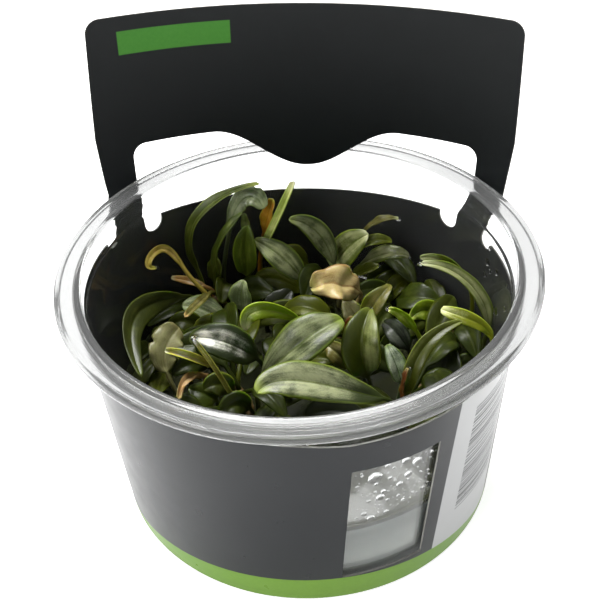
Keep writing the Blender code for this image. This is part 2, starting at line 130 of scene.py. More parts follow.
# each leaf: look, points on its midrib from stalk to tip, blade width, roll, fold, share that is bare stalk
LEAVES = [
    # the large leaves in front
    ("front", [(22, -14, 30), (15, -15.6, 37), (4, -17.5, 41), (-8, -20.6, 40)], 9.2, -8, 14, 0.12),
    ("sheen", [(-10, -8, 30), (0, -8, 42), (9, -2, 44)], 10.0, 12, 12, 0.08),
    ("keel", [(15, -3, 26), (13, -4, 38), (15, 4, 42)], 8.5, 0, 28, 0.10),
    ("gloss", [(-9, 1, 28), (-16, -3, 38), (-25, 0, 37)], 8.0, 0, 15, 0.12),
    ("arch", [(22, -9, 26), (24, -8, 35), (28, -4, 41), (34, -1, 43)], 5.2, 0, 22, 0.12),
    ("lime", [(42.5, 1, 34), (38, 1.5, 41.5), (31.7, 3, 43)], 5.0, 20, 15, 0.12),
    ("curl", [(0, 14, 28), (-4, 6, 38), (-10, 3, 41), (-12, 0, 37)], 5.4, 25, 18, 0.15),
    ("dried", [(9, 22, 28), (6, 12, 42), (0, 12, 41)], 11.0, 0, 10, 0.05),
    ("bluish", [(23, -7, 27), (21, -6, 34), (18, -3, 38)], 6.4, -10, 25, 0.10),
    ("spear", [(-13, -13, 28), (-17, -12, 38), (-22, -9, 45)], 2.0, 20, 45, 0.12),
    # the tall ones at the back left
    ("dark_spear", [(-26, 29, 30), (-28, 30, 42), (-20, 32, 50), (-11, 34, 55)], 2.8, 30, 30, 0.15),
    ("shaded", [(-26, 26, 28), (-35, 12, 37), (-38, 1, 39), (-34, -12, 36)], 6.0, 40, 15, 0.12),
    ("hook", [(-26.5, 28, 29), (-31.5, 28, 36), (-36.5, 25, 40.3), (-36, 20, 38.3)], 1.7, 20, 30, 0.30),
    ("mist", [(-20, 32, 34), (-18, 33, 46), (-14, 33, 52), (-10, 31, 50)], 6.0, 10, 10, 0.25),
    ("rolled", [(-13, 38, 30), (-8, 35, 44), (-3, 37, 54)], 3.4, 10, 45, 0.15),
    ("deep", [(-15, 31, 26), (-15, 29, 38), (-14, 30, 46)], 6.0, 0, 25, 0.20),
    ("grey", [(-1, 30, 28), (-6, 29, 37), (-13, 31, 41)], 6.5, 10, 12, 0.10),
    ("grey", [(7, 29, 31), (3, 30, 43), (-4, 28, 49)], 5.4, 10, 15, 0.15),
    ("deep", [(-23, 31, 28), (-21, 30, 40), (-15, 32, 48)], 3.4, 40, 20, 0.15),
    ("khaki", [(-23, 26, 30), (-25, 16, 34), (-27, 7, 37)], 2.2, 10, 25, 0.20),
    ("pinkish", [(-24, 28, 28), (-28, 26, 32), (-33, 24, 35)], 2.0, 0, 25, 0.25),
    ("shaded", [(-24, 29, 28), (-23, 29, 33), (-23, 30, 37)], 5.0, 30, 20, 0.15),
    ("rolled", [(-16, 34, 30), (-15, 32, 40), (-15, 31, 49)], 2.2, 0, 20, 0.60),
    ("amber", [(-13, 37, 32), (-10, 35, 42), (-8, 35, 50)], 4.0, 20, 20, 0.20),
    # the ones at the back right
    ("pale", [(5, 34, 28), (9, 31, 38), (14.5, 29, 44)], 7.5, -10, 15, 0.12),
    ("spear", [(9, 36, 32), (15, 29, 46.5), (21.5, 28, 49)], 1.8, 20, 30, 0.30),
    ("pale", [(10, 35, 28), (18, 29, 38), (24, 28, 38)], 4.2, 10, 20, 0.15),
    ("arch", [(6, 34, 30), (13, 28, 42), (20, 29, 42)], 3.2, 10, 20, 0.20),
    ("pale", [(41, 11, 28), (38.8, 9, 38), (34.2, 11, 44), (26, 12.5, 46.3)], 4.4, -10, 22, 0.12),
    ("lime", [(39, 17, 34), (33, 15, 45.5), (26, 15, 47.5)], 2.3, 30, 20, 0.20),
    ("arch", [(10, 33, 28), (13, 29, 33), (17, 27, 36)], 3.2, 10, 25, 0.15),
    # the middle and right
    ("brownish", [(11, 13, 28), (15, 8, 40), (18, 14, 41)], 6.0, 10, 20, 0.15),
    ("bright", [(27, 6, 30), (23, 5, 38), (19, 5, 41)], 2.4, 30, 20, 0.25),
    ("russet", [(22, -11, 28), (22, -12, 34), (23, -11, 38)], 1.8, 60, 20, 0.20),
    ("bright", [(33, 16, 28), (28, 13, 34), (24, 10, 34)], 5.0, 20, 15, 0.15),
    ("bluish", [(24, 5, 28), (21, 6, 33), (18, 10, 33)], 5.0, 10, 20, 0.10),
    ("deep", [(21, 25, 27), (25, 19, 33), (31, 18, 33)], 7.5, 10, 12, 0.10),
    ("beige", [(7, 24, 28), (10, 17, 38), (10, 19, 40)], 5.0, 0, 10, 0.10),
    ("beige", [(13, 17, 27), (11, 15, 32), (9, 17, 34)], 5.0, 20, 15, 0.10),
    ("russet", [(12, 10, 26), (11, 10, 31), (11, 11, 34)], 4.0, 20, 20, 0.15),
    ("khaki", [(11, 1, 26), (8, 0, 32), (5, 2, 33)], 5.0, 10, 15, 0.10),
    # the left
    ("torn", [(-28, -6, 26), (-31, -2, 33), (-28, 4, 36.5)], 9.0, -20, 5, 0.28),
    ("khaki", [(-20, -2, 28), (-25, -4, 34), (-30, -6, 38)], 3.4, 10, 25, 0.12),
    ("pinkish", [(-23, 1, 26), (-25, -7, 32), (-26, -14, 32)], 4.0, 20, 10, 0.10),
    # low ones, mostly in shade
    ("mist", [(-20, 18, 26), (-25, 18, 30), (-30, 17, 32)], 7.0, 0, 8, 0.08),
    ("deep", [(-15, 8, 26), (-22, 7, 29), (-31, 4, 30)], 8.0, 0, 15, 0.10),
    ("mist", [(-16, 22, 26), (-16, 22, 31), (-15, 23, 35)], 6.0, 10, 15, 0.10),
    ("deep", [(-10, 19, 25), (-7, 21, 29), (-4, 24, 31)], 7.0, 0, 15, 0.10),
    ("deep", [(-19, -8, 25), (-21, -9, 28), (-25, -8, 29)], 6.0, 0, 15, 0.10),
    ("deep", [(0, -14, 25), (6, -15, 29), (14, -16, 29)], 7.0, 0, 15, 0.10),
    ("deep", [(28, -5, 24), (31, -2, 29), (33, 3, 32)], 8.0, 0, 15, 0.10),
]
# the finer midrib, width, roll, fold and bare share of the leaves that differ from their plain solids
REFINED = {
    1: ([(21.5, -13, 30), (10, -16.5, 37), (-1, -17.5, 40.5), (-8, -21, 40)], 8.2, -8, 14, 0.12),
    5: ([(22.5, -9, 26), (23.5, -10, 35), (27, -6.5, 41), (34.5, -1.5, 43)], 3.8, 0, 22, 0.12),
    6: ([(42.5, 1, 34), (40.5, 1, 39), (36, 1, 42), (31, 2.5, 43)], 3.2, 10, 15, 0.12),
    7: ([(-1, 9, 33), (-4, 7, 38), (-10, 4.5, 41), (-12.5, 2.5, 37)], 4.0, 25, 18, 0.12),
    8: ([(12.5, 17, 36), (7.5, 13.5, 41.5), (1.5, 12.5, 41)], 8.6, 0, 10, 0.05),
    9: ([(22, -5, 27), (20.5, -5.5, 34), (18.5, -3.5, 38)], 4.4, -10, 25, 0.10),
    10: ([(-13.5, -12.5, 28), (-17.5, -11.5, 38), (-22, -9.5, 45)], 1.4, 20, 30, 0.12),
    11: ([(-26, 28.5, 30), (-28.5, 30.5, 38), (-26.5, 30.5, 47), (-19.5, 32, 53), (-11, 34, 55)],
         3.0, 20, 25, 0.12),
    13: ([(-25, 27.5, 29), (-30, 27.5, 36), (-33.5, 28, 40.5), (-36.5, 24, 41), (-35, 22.5, 39)],
         1.9, 20, 30, 0.25),
    15: ([(-13, 38.5, 30), (-8, 31.5, 44), (-3, 36.5, 54)], 2.8, 10, 20, 0.12),
    24: ([(-12.5, 37.5, 32), (-10, 35, 43), (-8, 35, 50)], 3.6, 20, 20, 0.35),
    29: ([(41, 11, 28), (40.5, 12, 36), (35, 14, 43), (26, 14, 46.5)], 3.4, -10, 22, 0.12),
    32: ([(12.5, 13.5, 28), (15.5, 9.5, 38), (19.5, 13.5, 41)], 5.0, 10, 20, 0.12),
    42: ([(-28, -6, 26), (-31, -2, 33), (-28, 4, 36.5)], 7.6, -20, 5, 0.28),
    43: ([(-19, -2.5, 30), (-24.5, -5, 36), (-29.5, -5.5, 38)], 2.8, 10, 25, 0.12),
    44: ([(-21.5, -3, 28), (-25, -8, 32), (-26, -14.5, 32)], 2.2, 20, 10, 0.10),
}
# how the blades of some leaves differ in form
SHAPES = {
    1: {"wave": 0.35, "convex": 0.35, "widest": 1.05, "blunt": 0.62},
    2: {"wave": 0.25, "convex": 0.45, "widest": 1.0, "blunt": 0.62},
    3: {"convex": 0.5},
    4: {"convex": 0.45, "blunt": 0.7},
    6: {"widest": 1.5, "blunt": 0.55},
    7: {"widest": 1.6, "blunt": 0.6, "wave": 0.1},
    8: {"crumple": 0.32, "wave": 0.8, "blunt": 0.6},
    10: {"curl": 1.1, "wave": 0.05, "blunt": 0.6},
    14: {"tears": ((1, 0.5, 0.3), (-1, 0.7, 0.25)), "widest": 1.2, "blunt": 0.5},
    15: {"curl": 1.5, "widest": 1.1, "blunt": 0.3, "wave": 0.05, "skin": 0.2},
    24: {"blunt": 0.55},
    25: {"blunt": 0.65, "wave": 0.35},
    42: {"tears": ((1, 0.35, 0.35), (1, 0.62, 0.5), (-1, 0.55, 0.3), (1, 0.85, 0.3)), "wave": 0.7,
         "blunt": 0.4, "widest": 1.25},
    43: {"curl": 1.6, "wave": 0.05, "blunt": 0.5, "skin": 0.2},
    44: {"crumple": 0.12, "curl": 0.8},
}
# leaves that carry a droplet at the tip, and its radius
WET_TIPS = {3: 0.6, 10: 0.75, 13: 0.75, 26: 0.6, 27: 0.6, 29: 0.75, 31: 0.6, 33: 0.75, 34: 0.6}
# the largest drops on the wall: degrees to the right of the front, height and radius
BIG_DROPS = ((21.5, 37.0, 1.5), (30.0, 39.0, 1.0), (33.5, 37.2, 1.2), (31.0, 34.5, 0.9))
# where the small ones lie: from and to in degrees, from and to in height, and how many are tried;
# and about how far the wall is from the axis, which turns an angle into a distance along it
SMALL_DROPS = ((16.0, 46.0, 24.5, 44.0, 230), (60.0, 112.0, 30.0, 50.0, 90), (-60.0, 10.0, 26.0, 50.0, 60))
WALL_REACH = 45.0
# each creeping stem: its two ends and its radius
STEMS = [
    ((-28, 24, 24.6), (-16, 35, 24.6), 1.6),
    ((-4, 33, 24.6), (9, 36, 24.6), 1.6),
    ((3, 22, 24.4), (13, 8, 24.4), 1.5),
    ((-17, 1, 24.6), (-11, -12, 24.6), 1.6),
    ((20, -14, 24.6), (30, 4, 24.6), 1.6),
    ((27, 25, 24.6), (35, 13, 24.6), 1.6),
]
# the low leaves round each stem, and the ranges that each one is drawn from
LOW_LEAVES = 11
LOW_TRIES = 60
LOW_LEAF = {
    "reach": (9, 22), "crown": (28.5, 34), "drop": (-1.5, 4),
    "width": (4.6, 7.6), "fold": (5, 25), "bare": 0.3,
}
# how far forward and aside the lowest leaves leave the tub open in front of the clump
FRONT_OPEN = -21.5
FRONT_HALF = 23.5
# the lowest leaves: how many places are tried and how often, how far out they go, how far round the axis
# each place is from the one before, and the ranges that each leaf is drawn from
LOWEST_COUNT = 150
LOWEST_TRIES = 7
LOWEST_SPREAD = 39.0
GOLDEN_TURN = 2.39996
LOWEST_LEAF = {
    "reach": (8, 14), "crown": (26.5, 31.0), "drop": (-1.0, 2.0),
    "width": (4.0, 6.5), "fold": (5, 20), "bare": 0.12, "start": 2.5,
}
# the looks that the low leaves share, and the size, tint and gloss of these; their dark deep and shaded looks
# are partly their own dark green and partly painted shade under the taller leaves
LOW_LOOKS = ("deep", "shaded", "deep", "arch", "deep", "shaded", "deep")
LOW_WIDTH = 5.6
LOW_LENGTH = 14.0
LOW_TINT = 1.1
LOW_GLOSS = 0.5
# each look: dark part, pale sheen (a painted reflection of the light; on the dried, beige and torn looks
# partly their own pale colour), margin (partly its own colour, partly painted light shining through the thin
# edge), underside, tip, how much of it is painted sheen, where the painted sheen lies across (-1 to 1) and
# along (0 to 1)
LOOKS = {
    "front": ((40, 50, 12), (152, 157, 118), (112, 130, 36), (74, 86, 18), (140, 156, 60),
        0.66, -0.80, 0.92, 0.22, 1.2),
    "sheen": ((48, 58, 12), (142, 149, 108), (108, 128, 32), (70, 84, 18), (128, 146, 48),
        0.52, -0.92, 0.80, 0.0, 1.2),
    "keel": ((54, 62, 2), (124, 130, 78), (92, 104, 20), (62, 72, 4), (104, 114, 40),
        0.65, 0.10, 0.90, 0.05, 0.95),
    "gloss": ((26, 34, 10), (186, 192, 164), (46, 58, 16), (40, 48, 8), (56, 66, 22),
        0.50, -0.55, 0.60, 0.2, 0.92),
    "arch": ((58, 64, 4), (108, 112, 58), (88, 96, 14), (56, 62, 4), (104, 112, 36),
        0.35, -0.95, -0.30, 0.1, 0.8),
    "shaded": ((44, 50, 8), (78, 84, 34), (66, 76, 12), (38, 42, 6), (70, 80, 20),
        0.20, -0.6, 0.6, 0.1, 0.9),
    "lime": ((96, 102, 14), (176, 182, 126), (124, 138, 34), (102, 110, 14), (172, 180, 120),
        0.45, -0.8, 0.8, 0.60, 1.2),
    "curl": ((80, 96, 6), (164, 172, 112), (116, 136, 24), (94, 110, 10), (182, 188, 136),
        0.35, -0.6, 0.6, 0.62, 1.2),
    "dried": ((118, 86, 38), (186, 168, 112), (136, 98, 40), (176, 150, 88), (170, 166, 104),
        0.75, -1.2, 1.2, -0.2, 1.2),
    "bluish": ((38, 50, 32), (140, 148, 126), (62, 78, 28), (46, 56, 18), (78, 92, 40),
        0.70, -0.85, 0.85, 0.1, 0.95),
    "spear": ((82, 78, 28), (150, 144, 92), (124, 120, 50), (76, 78, 22), (190, 194, 150),
        0.35, -0.6, 0.3, 0.2, 1.0),
    "dark_spear": ((48, 56, 6), (92, 100, 46), (112, 120, 50), (46, 54, 4), (118, 126, 56),
        0.25, -0.7, 0.7, 0.1, 1.0),
    "hook": ((118, 104, 40), (160, 134, 80), (116, 104, 36), (126, 88, 40), (124, 122, 44),
        0.40, -0.7, 0.7, 0.0, 0.6),
    "mist": ((56, 64, 38), (122, 128, 98), (74, 86, 38), (56, 64, 30), (104, 112, 76),
        0.45, -0.9, 0.9, 0.1, 1.0),
    "rolled": ((106, 116, 52), (156, 164, 108), (122, 132, 64), (90, 100, 38), (170, 172, 124),
        0.45, -0.8, 0.8, 0.1, 1.0),
    "deep": ((34, 42, 4), (68, 76, 26), (48, 58, 6), (26, 31, 5), (48, 58, 14),
        0.25, -0.6, 0.6, 0.1, 0.9),
    "grey": ((58, 66, 34), (134, 140, 100), (92, 110, 26), (66, 76, 24), (116, 126, 66),
        0.65, -0.85, 0.7, 0.05, 1.0),
    "khaki": ((98, 92, 36), (160, 154, 104), (100, 108, 32), (98, 88, 34), (186, 152, 96),
        0.40, -0.7, 0.7, 0.1, 1.0),
    "pinkish": ((142, 106, 60), (194, 166, 122), (122, 110, 44), (150, 112, 70), (174, 158, 100),
        0.50, -0.8, 0.8, 0.0, 0.8),
    "amber": ((122, 82, 12), (160, 126, 48), (110, 102, 22), (116, 80, 14), (118, 114, 30),
        0.30, -0.8, 0.8, 0.1, 0.8),
    "pale": ((74, 84, 30), (150, 154, 106), (98, 114, 22), (86, 96, 30), (182, 186, 142),
        0.65, -0.9, 0.65, 0.05, 1.2),
    "brownish": ((76, 76, 16), (132, 124, 70), (88, 100, 18), (80, 74, 18), (106, 104, 36),
        0.40, -0.5, 0.9, 0.2, 1.0),
    "bright": ((72, 86, 6), (122, 132, 58), (98, 118, 18), (70, 86, 6), (148, 162, 70),
        0.30, -0.6, 0.6, 0.1, 1.0),
    "russet": ((110, 58, 16), (156, 104, 50), (108, 80, 24), (106, 58, 20), (190, 170, 108),
        0.30, -0.7, 0.7, 0.0, 1.0),
    "beige": ((116, 112, 62), (172, 168, 120), (120, 122, 48), (114, 106, 58), (156, 152, 96),
        0.55, -0.9, 0.9, 0.0, 1.0),
    "torn": ((112, 110, 58), (166, 164, 112), (122, 122, 66), (126, 118, 68), (150, 142, 90),
        0.60, -1.2, 1.2, -0.2, 1.2),
}
# how much lighter or darker some leaves are than their look: partly their own tone, partly painted light and
# shade that makes up for how brightly each is lit
TONES_AND_PAINTED_LIGHT = (
    (0.40, (36, 48, 50)),
    (0.60, (27, 30, 34, 42)),
    (0.85, (2,)),
    (1.25, (25,)),
    (1.70, (4, 6, 7, 11, 14, 17, 24, 28, 35, 37, 46)),
    (2.40, (9, 13, 15, 19, 22, 33)),
    (3.00, (10, 16, 21, 45, 47, 49)),
    (4.50, (43,)),
)

# view: degrees, the height that it aims at, its distance, and its focal length over the picture's width
CAMERA_TURN = 5.0
CAMERA_RISE = 39.04
CAMERA_ROLL = -3.21
CAMERA_AIM = 47.65
CAMERA_AWAY = 240.13
CAMERA_LENS = 1121.1 / 600

# light: the even one of the room, and each softbox with its place, size in metres and power
ROOM_LIGHT = 0.30
SOFTBOXES = {
    "overhead": ((-0.10, 0.22, 0.62), (0.45, 0.35), 8.0),
    "front left": ((-0.45, -0.45, 0.45), (0.35, 0.35), 2.2),
}
LIGHT_AIM = (0, 0, 0.03)
FLOOR_HALF = 3.0
FLOOR_GLOW = 0.75


# Materials

def linear(rgb):
    """A colour of 0 to 255 in linear light."""
    return tuple((c / 255 / 12.92) if c <= 10 else ((c / 255 + 0.055) / 1.055) ** 2.4 for c in rgb)


class Surface:
    """Builds one procedural material."""

    def __init__(self, name, rough=0.5):
        self.material = bpy.data.materials.new(name)
        self.material.use_nodes = True
        self.tree = self.material.node_tree
        self.shader = self.tree.nodes["Principled BSDF"]
        self.set("Roughness", rough)

    def put(self, socket, value):
        if isinstance(value, bpy.types.NodeSocket):
            self.tree.links.new(value, socket)
        elif isinstance(value, tuple) and len(value) == 3 and len(socket.default_value) == 4:
            socket.default_value = (*value, 1.0)
        else:
            socket.default_value = value

    def node(self, kind, inputs=(), **settings):
        made = self.tree.nodes.new("ShaderNode" + kind)
        for key, setting in settings.items():
            setattr(made, key, setting)
        for key, value in dict(inputs).items():
            self.put(made.inputs[key], value)
        return made

    def math(self, operation, a, b=0.0, clamp=False):
        return self.node("Math", {0: a, 1: b}, operation=operation, use_clamp=clamp).outputs[0]

    def mix(self, share, a, b):
        return self.node("Mix", {0: share, 6: a, 7: b}, data_type="RGBA").outputs[2]

    def blend(self, share, a, b):
        return self.node("Mix", {0: share, 2: a, 3: b}, data_type="FLOAT").outputs[0]

    def step(self, x, low, high):
        """0 below low, 1 above high, smooth between."""
        return self.node("MapRange", {0: x, 1: low, 2: high}, interpolation_type="SMOOTHSTEP").outputs[0]

    def box(self, x, low, high, soft):
        """1 between low and high, 0 outside, with soft borders."""
        rise = self.step(x, low - soft, low + soft)
        fall = self.step(x, high - soft, high + soft)
        return self.times(rise, self.minus(1.0, fall))

    def times(self, a, b):
        return self.math("MULTIPLY", a, b)

    def minus(self, a, b):
        return self.math("SUBTRACT", a, b)

    def swing(self, noise, reach):
        """A noise that goes evenly below and above zero."""
        return self.times(self.minus(noise, 0.5), reach)

    def mottled(self, share, first, second):
        """Two colours mixed by a noise."""
        return self.mix(share, linear(first), linear(second))

    def from_axis(self, where):
        """How far a place is from the z axis."""
        flat = self.node("VectorMath", {0: where, 1: (1.0, 1.0, 0.0)}, operation="MULTIPLY").outputs[0]
        return self.node("VectorMath", {0: flat}, operation="LENGTH").outputs[1]

    def attribute(self, name):
        return self.node("Attribute", attribute_name=name).outputs["Fac"]

    def place(self):
        return self.node("TexCoord").outputs["Object"]

    def noise(self, where, scale, detail=2.0, rough=0.5):
        made = self.node("TexNoise", {"Vector": where, "Scale": scale, "Detail": detail, "Roughness": rough})
        return made.outputs[0]

    def vector(self, x, y, z=0.0):
        return self.node("CombineXYZ", {0: x, 1: y, 2: z}).outputs[0]

    def bump(self, height, depth, strength=1.0, under=None):
        made = self.node("Bump", {"Height": height, "Distance": depth * MM, "Strength": strength})
        if under is not None:
            self.put(made.inputs["Normal"], under)
        return made.outputs[0]

    def set(self, socket, value):
        self.put(self.shader.inputs[socket], value)


def clear_plastic(name, tone, clear, low, high, rings):
    """Clear moulded plastic, its roughness from low to high. The rim is a little milky and ringed."""
    made = Surface(name, low)
    made.set("Base Color", (tone, 1.01 * tone, 1.005 * tone))
    made.set("Transmission Weight", clear)
    made.set("IOR", 1.35)
    where = made.place()
    ripple = made.noise(where, 140.0, 1.0)
    made.set("Roughness", made.blend(made.noise(where, 60.0), low, high))
    ridges = made.noise(made.vector(made.from_axis(where), 0.0, 1.3), 1300.0, 1.0)
    made.set("Normal", made.bump(ridges, rings, 0.6, made.bump(ripple, 0.05, 0.3)))
    return made.material


def gel_material():
    made = Surface("gel", 0.16)
    where = made.place()
    cloud = made.noise(where, 55.0, 3.0)
    height = made.node("SeparateXYZ", {0: where}).outputs[2]
    side = made.mottled(cloud, (164, 171, 167), (178, 184, 177))
    # the top is painted dark olive, painted shade from the leaves above it; the side keeps the gel's own pale
    # colour
    top = made.mottled(cloud, (34, 38, 18), (50, 52, 28))
    upper = made.step(height, (GEL_TOP - 1.2) * MM, (GEL_TOP - 0.4) * MM)
    made.set("Base Color", made.mix(upper, side, top))
    made.set("Transmission Weight", 0.35)
    made.set("IOR", 1.34)
    made.set("Subsurface Weight", 0.6)
    made.set("Subsurface Radius", (0.8, 1.0, 1.1))
    made.set("Subsurface Scale", 0.004)
    made.set("Normal", made.bump(made.noise(where, 260.0), 0.2, 0.4))
    return made.material


def water():
    made = Surface("water", 0.0)
    made.set("Base Color", (1.0, 1.0, 1.0))
    made.set("Transmission Weight", 1.0)
    made.set("IOR", 1.33)
    return made.material


def card_inside():
    """The face of the card towards the tub: near black, with a plain green bar on the header."""
    made = Surface("card_inside", 0.42)
    u = made.attribute("wrap_u")
    v = made.attribute("wrap_v")
    where = made.place()
    black = made.mottled(made.noise(where, 90.0, 3.0), (9, 13, 14), (16, 21, 22))
    bar = made.times(made.box(u, *BAR[:2], 0.12), made.box(v, *BAR[2:], 0.12))
    green = made.mottled(made.noise(where, 1400.0), (60, 128, 38), (72, 140, 46))
    made.set("Base Color", made.mix(bar, black, green))
    made.set("Specular IOR Level", 0.3)
    made.set("Roughness", made.blend(made.noise(where, 300.0, 3.0), 0.38, 0.5))
    made.set("Normal", made.bump(made.noise(where, 2600.0, 2.0), 0.012, 0.5))
    return made.material


def card_outside():
    """The printed face: black, a green band along the bottom and a white panel with plain stripes."""
    made = Surface("card_outside", 0.3)
    q = made.attribute("front_q")
    v = made.attribute("wrap_v")
    on = made.attribute("front_on")
    where = made.place()
    black = made.mottled(made.noise(where, 90.0, 3.0), (18, 21, 24), (25, 28, 31))
    drop = made.math("MINIMUM", made.times(made.times(q, q), BAND_CURVE), BAND_DROP)
    band = made.times(made.step(made.minus(made.minus(BAND_TOP, drop), v), -0.1, 0.1), on)
    green = made.mottled(made.noise(where, 1400.0), (96, 138, 30), (108, 148, 40))
    lean = made.minus(q, made.times(made.minus(v, PANEL_LOW), PANEL_LEAN))
    left = made.step(lean, PANEL_LEFT - 0.08, PANEL_LEFT + 0.08)
    right = made.step(q, PANEL_RIGHT + 0.1, PANEL_RIGHT - 0.1)
    panel = made.times(made.times(left, right), on)
    white = made.mottled(made.noise(where, 70.0), (168, 169, 169), (177, 178, 178))
    rows = made.noise(made.vector(v, 0.0, 3.7), STRIPE_SCALE, 2.0, 0.9)
    inked = made.times(made.step(rows, 0.49, 0.50), made.box(v, *STRIPES[2:], 0.02))
    stripes = made.times(inked, made.box(lean, *STRIPES[:2], 0.05))
    paint = made.mix(panel, black, white)
    paint = made.mix(made.times(stripes, panel), paint, linear((60, 62, 62)))
    paint = made.mix(band, paint, green)
    made.set("Base Color", paint)
    made.set("Specular IOR Level", 0.22)
    made.set("Roughness", made.blend(made.noise(where, 240.0, 3.0), 0.24, 0.36))
    made.set("Normal", made.bump(made.noise(where, 2600.0, 2.0), 0.012, 0.5))
    return made.material


def card_edge():
    made = Surface("card_edge", 0.85)
    fibre = made.noise(made.place(), 3000.0, 3.0)
    made.set("Base Color", made.mottled(fibre, (122, 121, 116), (158, 157, 151)))
    made.set("Normal", made.bump(fibre, 0.05, 0.6))
    return made.material


def leaf_material(name, look, width, length, lightness=1.0, gloss=1.0):
    """A glossy leaf: dark green under a pale speckled sheen, which is a painted reflection, with a lighter
    margin and tip. The margin is partly its own colour and partly painted light shining through the thin
    edge.
    """
    *colours, share, left, right, near, far = LOOKS[look]
    dark, pale, margin, under, tip = [[min(0.75, lightness * c) for c in linear(rgb)] for rgb in colours]
    made = Surface(name)
    across = made.attribute("across")
    along = made.attribute("along")
    upper = made.attribute("upper")
    mark = made.times(made.attribute("mark"), 7.3)
    side = made.math("ABSOLUTE", across)
    x = made.times(across, 0.5 * width)
    y = made.times(along, length)
    patches = made.noise(made.vector(x, y, mark), 0.20, 2.0)
    grain = made.noise(made.vector(x, made.times(y, 0.6), mark), 4.6, 2.0, 0.7)
    fine = made.noise(made.vector(x, made.times(y, 0.8), mark), 11.0, 1.0)
    streak = made.noise(made.vector(x, made.times(y, 0.10), mark), 1.5, 2.0)
    # the painted sheen, a painted reflection of the light, fades at its borders, where it breaks up into
    # speckles
    painted_sheen_bands = made.times(made.box(across, left, right, 0.22), made.box(along, near, far, 0.14))
    painted_sheen_bands = made.times(painted_sheen_bands, made.minus(1.0, made.times(made.step(side, 0.10, 0.02), 0.35)))
    painted_sheen_amount = made.math("ADD", made.swing(patches, 1.7), share)
    painted_sheen_amount = made.math("ADD", painted_sheen_amount, made.swing(streak, 1.1), clamp=True)
    painted_sheen_amount = made.times(painted_sheen_bands, painted_sheen_amount)
    painted_sheen_speckle = made.math("ADD", painted_sheen_amount, made.swing(grain, 0.7))
    painted_sheen_speckle = made.math("ADD", painted_sheen_speckle, made.swing(fine, 0.5))
    # where the pale colour is painted in: a painted reflection of the light from above, with speckled borders
    sheen = made.times(made.step(painted_sheen_speckle, 0.05, 1.05), made.step(painted_sheen_amount, 0.0, 0.25))
    deep = made.mix(patches, tuple(0.7 * c for c in dark), tuple(1.2 * c for c in dark))
    paint = made.mix(sheen, deep, tuple(pale))
    veins = made.math("SINE", made.times(made.minus(y, made.times(side, 0.9 * width)), 4.2))
    paint = made.mix(made.times(made.step(veins, 0.2, 1.0), 0.05), paint, tuple(dark))
    # margin, partly its own lighter colour and partly painted light shining through the thin edge; then tip
    # and midrib
    ragged = made.math("ADD", side, made.swing(streak, 0.2))
    paint = made.mix(made.times(made.step(ragged, 0.80, 1.0), 0.8), paint, tuple(margin))
    paint = made.mix(made.times(made.step(along, 0.84, 1.0), 0.9), paint, tuple(tip))
    paint = made.mix(made.times(made.step(side, 0.06, 0.02), 0.30), paint, tuple(margin))
    below = made.mix(patches, tuple(0.7 * c for c in under), tuple(under))
    below = made.mix(made.times(made.step(side, 0.09, 0.03), 0.5), below, tuple(margin))
    paint = made.mix(upper, below, paint)
    made.set("Base Color", paint)
    made.set("Roughness", made.blend(upper, 0.5, made.blend(grain, 0.28, 0.5)))
    made.set("Specular IOR Level", 0.32 * gloss)
    made.set("Subsurface Weight", 0.2)
    made.set("Subsurface Radius", (0.6, 1.0, 0.25))
    made.set("Subsurface Scale", 0.001)
    made.set("Coat Weight", 0.15 * gloss)
    made.set("Coat Roughness", 0.2)
    relief = made.math("ADD", made.times(grain, 0.5), made.times(veins, 0.25))
    made.set("Normal", made.bump(relief, 0.04, 0.5))
    return made.material


def bark():
    """The knobbed creeping stems and their roots."""
    made = Surface("stem", 0.6)
    where = made.place()
    patches = made.noise(where, 420.0, 3.0)
    made.set("Base Color", made.mottled(patches, (54, 38, 18), (116, 92, 44)))
    made.set("Normal", made.bump(made.noise(where, 1500.0, 3.0), 0.15, 0.8))
    return made.material


# Objects

def mesh_of(name, points, faces, **attributes):
    """A smooth mesh from points in millimetres, with numbers kept at its points."""
    mesh = bpy.data.meshes.new(name)
    mesh.from_pydata((np.asarray(points, float) * MM).tolist(), [], faces)
    for key, values in attributes.items():
        made = mesh.attributes.new(key, "FLOAT", "POINT")
        made.data.foreach_set("value", np.asarray(values, np.float32))
    mesh.update()
    mesh.shade_smooth()
    return mesh


def placed(name, data):
    made = bpy.data.objects.new(name, data)
    bpy.context.scene.collection.objects.link(made)
    return made


def add(name, mesh, materials, stands_for=()):
    """Adds a piece to the object and the solids that it stands for."""
    for material in materials:
        mesh.materials.append(material)
    piece = placed(name, mesh)
    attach(piece, BODY)
    if stands_for:
        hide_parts(*stands_for)
    return piece


# Tub and gel

def wall_outer(z):
    return FOOT_RADIUS + WALL_SLOPE * z


def wall_inner(z):
    return wall_outer(z) - WALL


def rounded(profile, steps=3):
    """Rounds the corners of a profile of (r, z, radius)."""
    path = []
    for k, (r, z, radius) in enumerate(profile):
        here = np.array((r, z))
        if radius == 0 or k in (0, len(profile) - 1):
            path.append(here)
            continue
        before = np.array(profile[k - 1][:2]) - here
        after = np.array(profile[k + 1][:2]) - here
        reach = min(radius, 0.45 * np.linalg.norm(before), 0.45 * np.linalg.norm(after))
        start = here + before / np.linalg.norm(before) * reach
        end = here + after / np.linalg.norm(after) * reach
        for t in np.linspace(0, 1, steps + 1):
            path.append((1 - t) ** 2 * start + 2 * t * (1 - t) * here + t ** 2 * end)
    return path


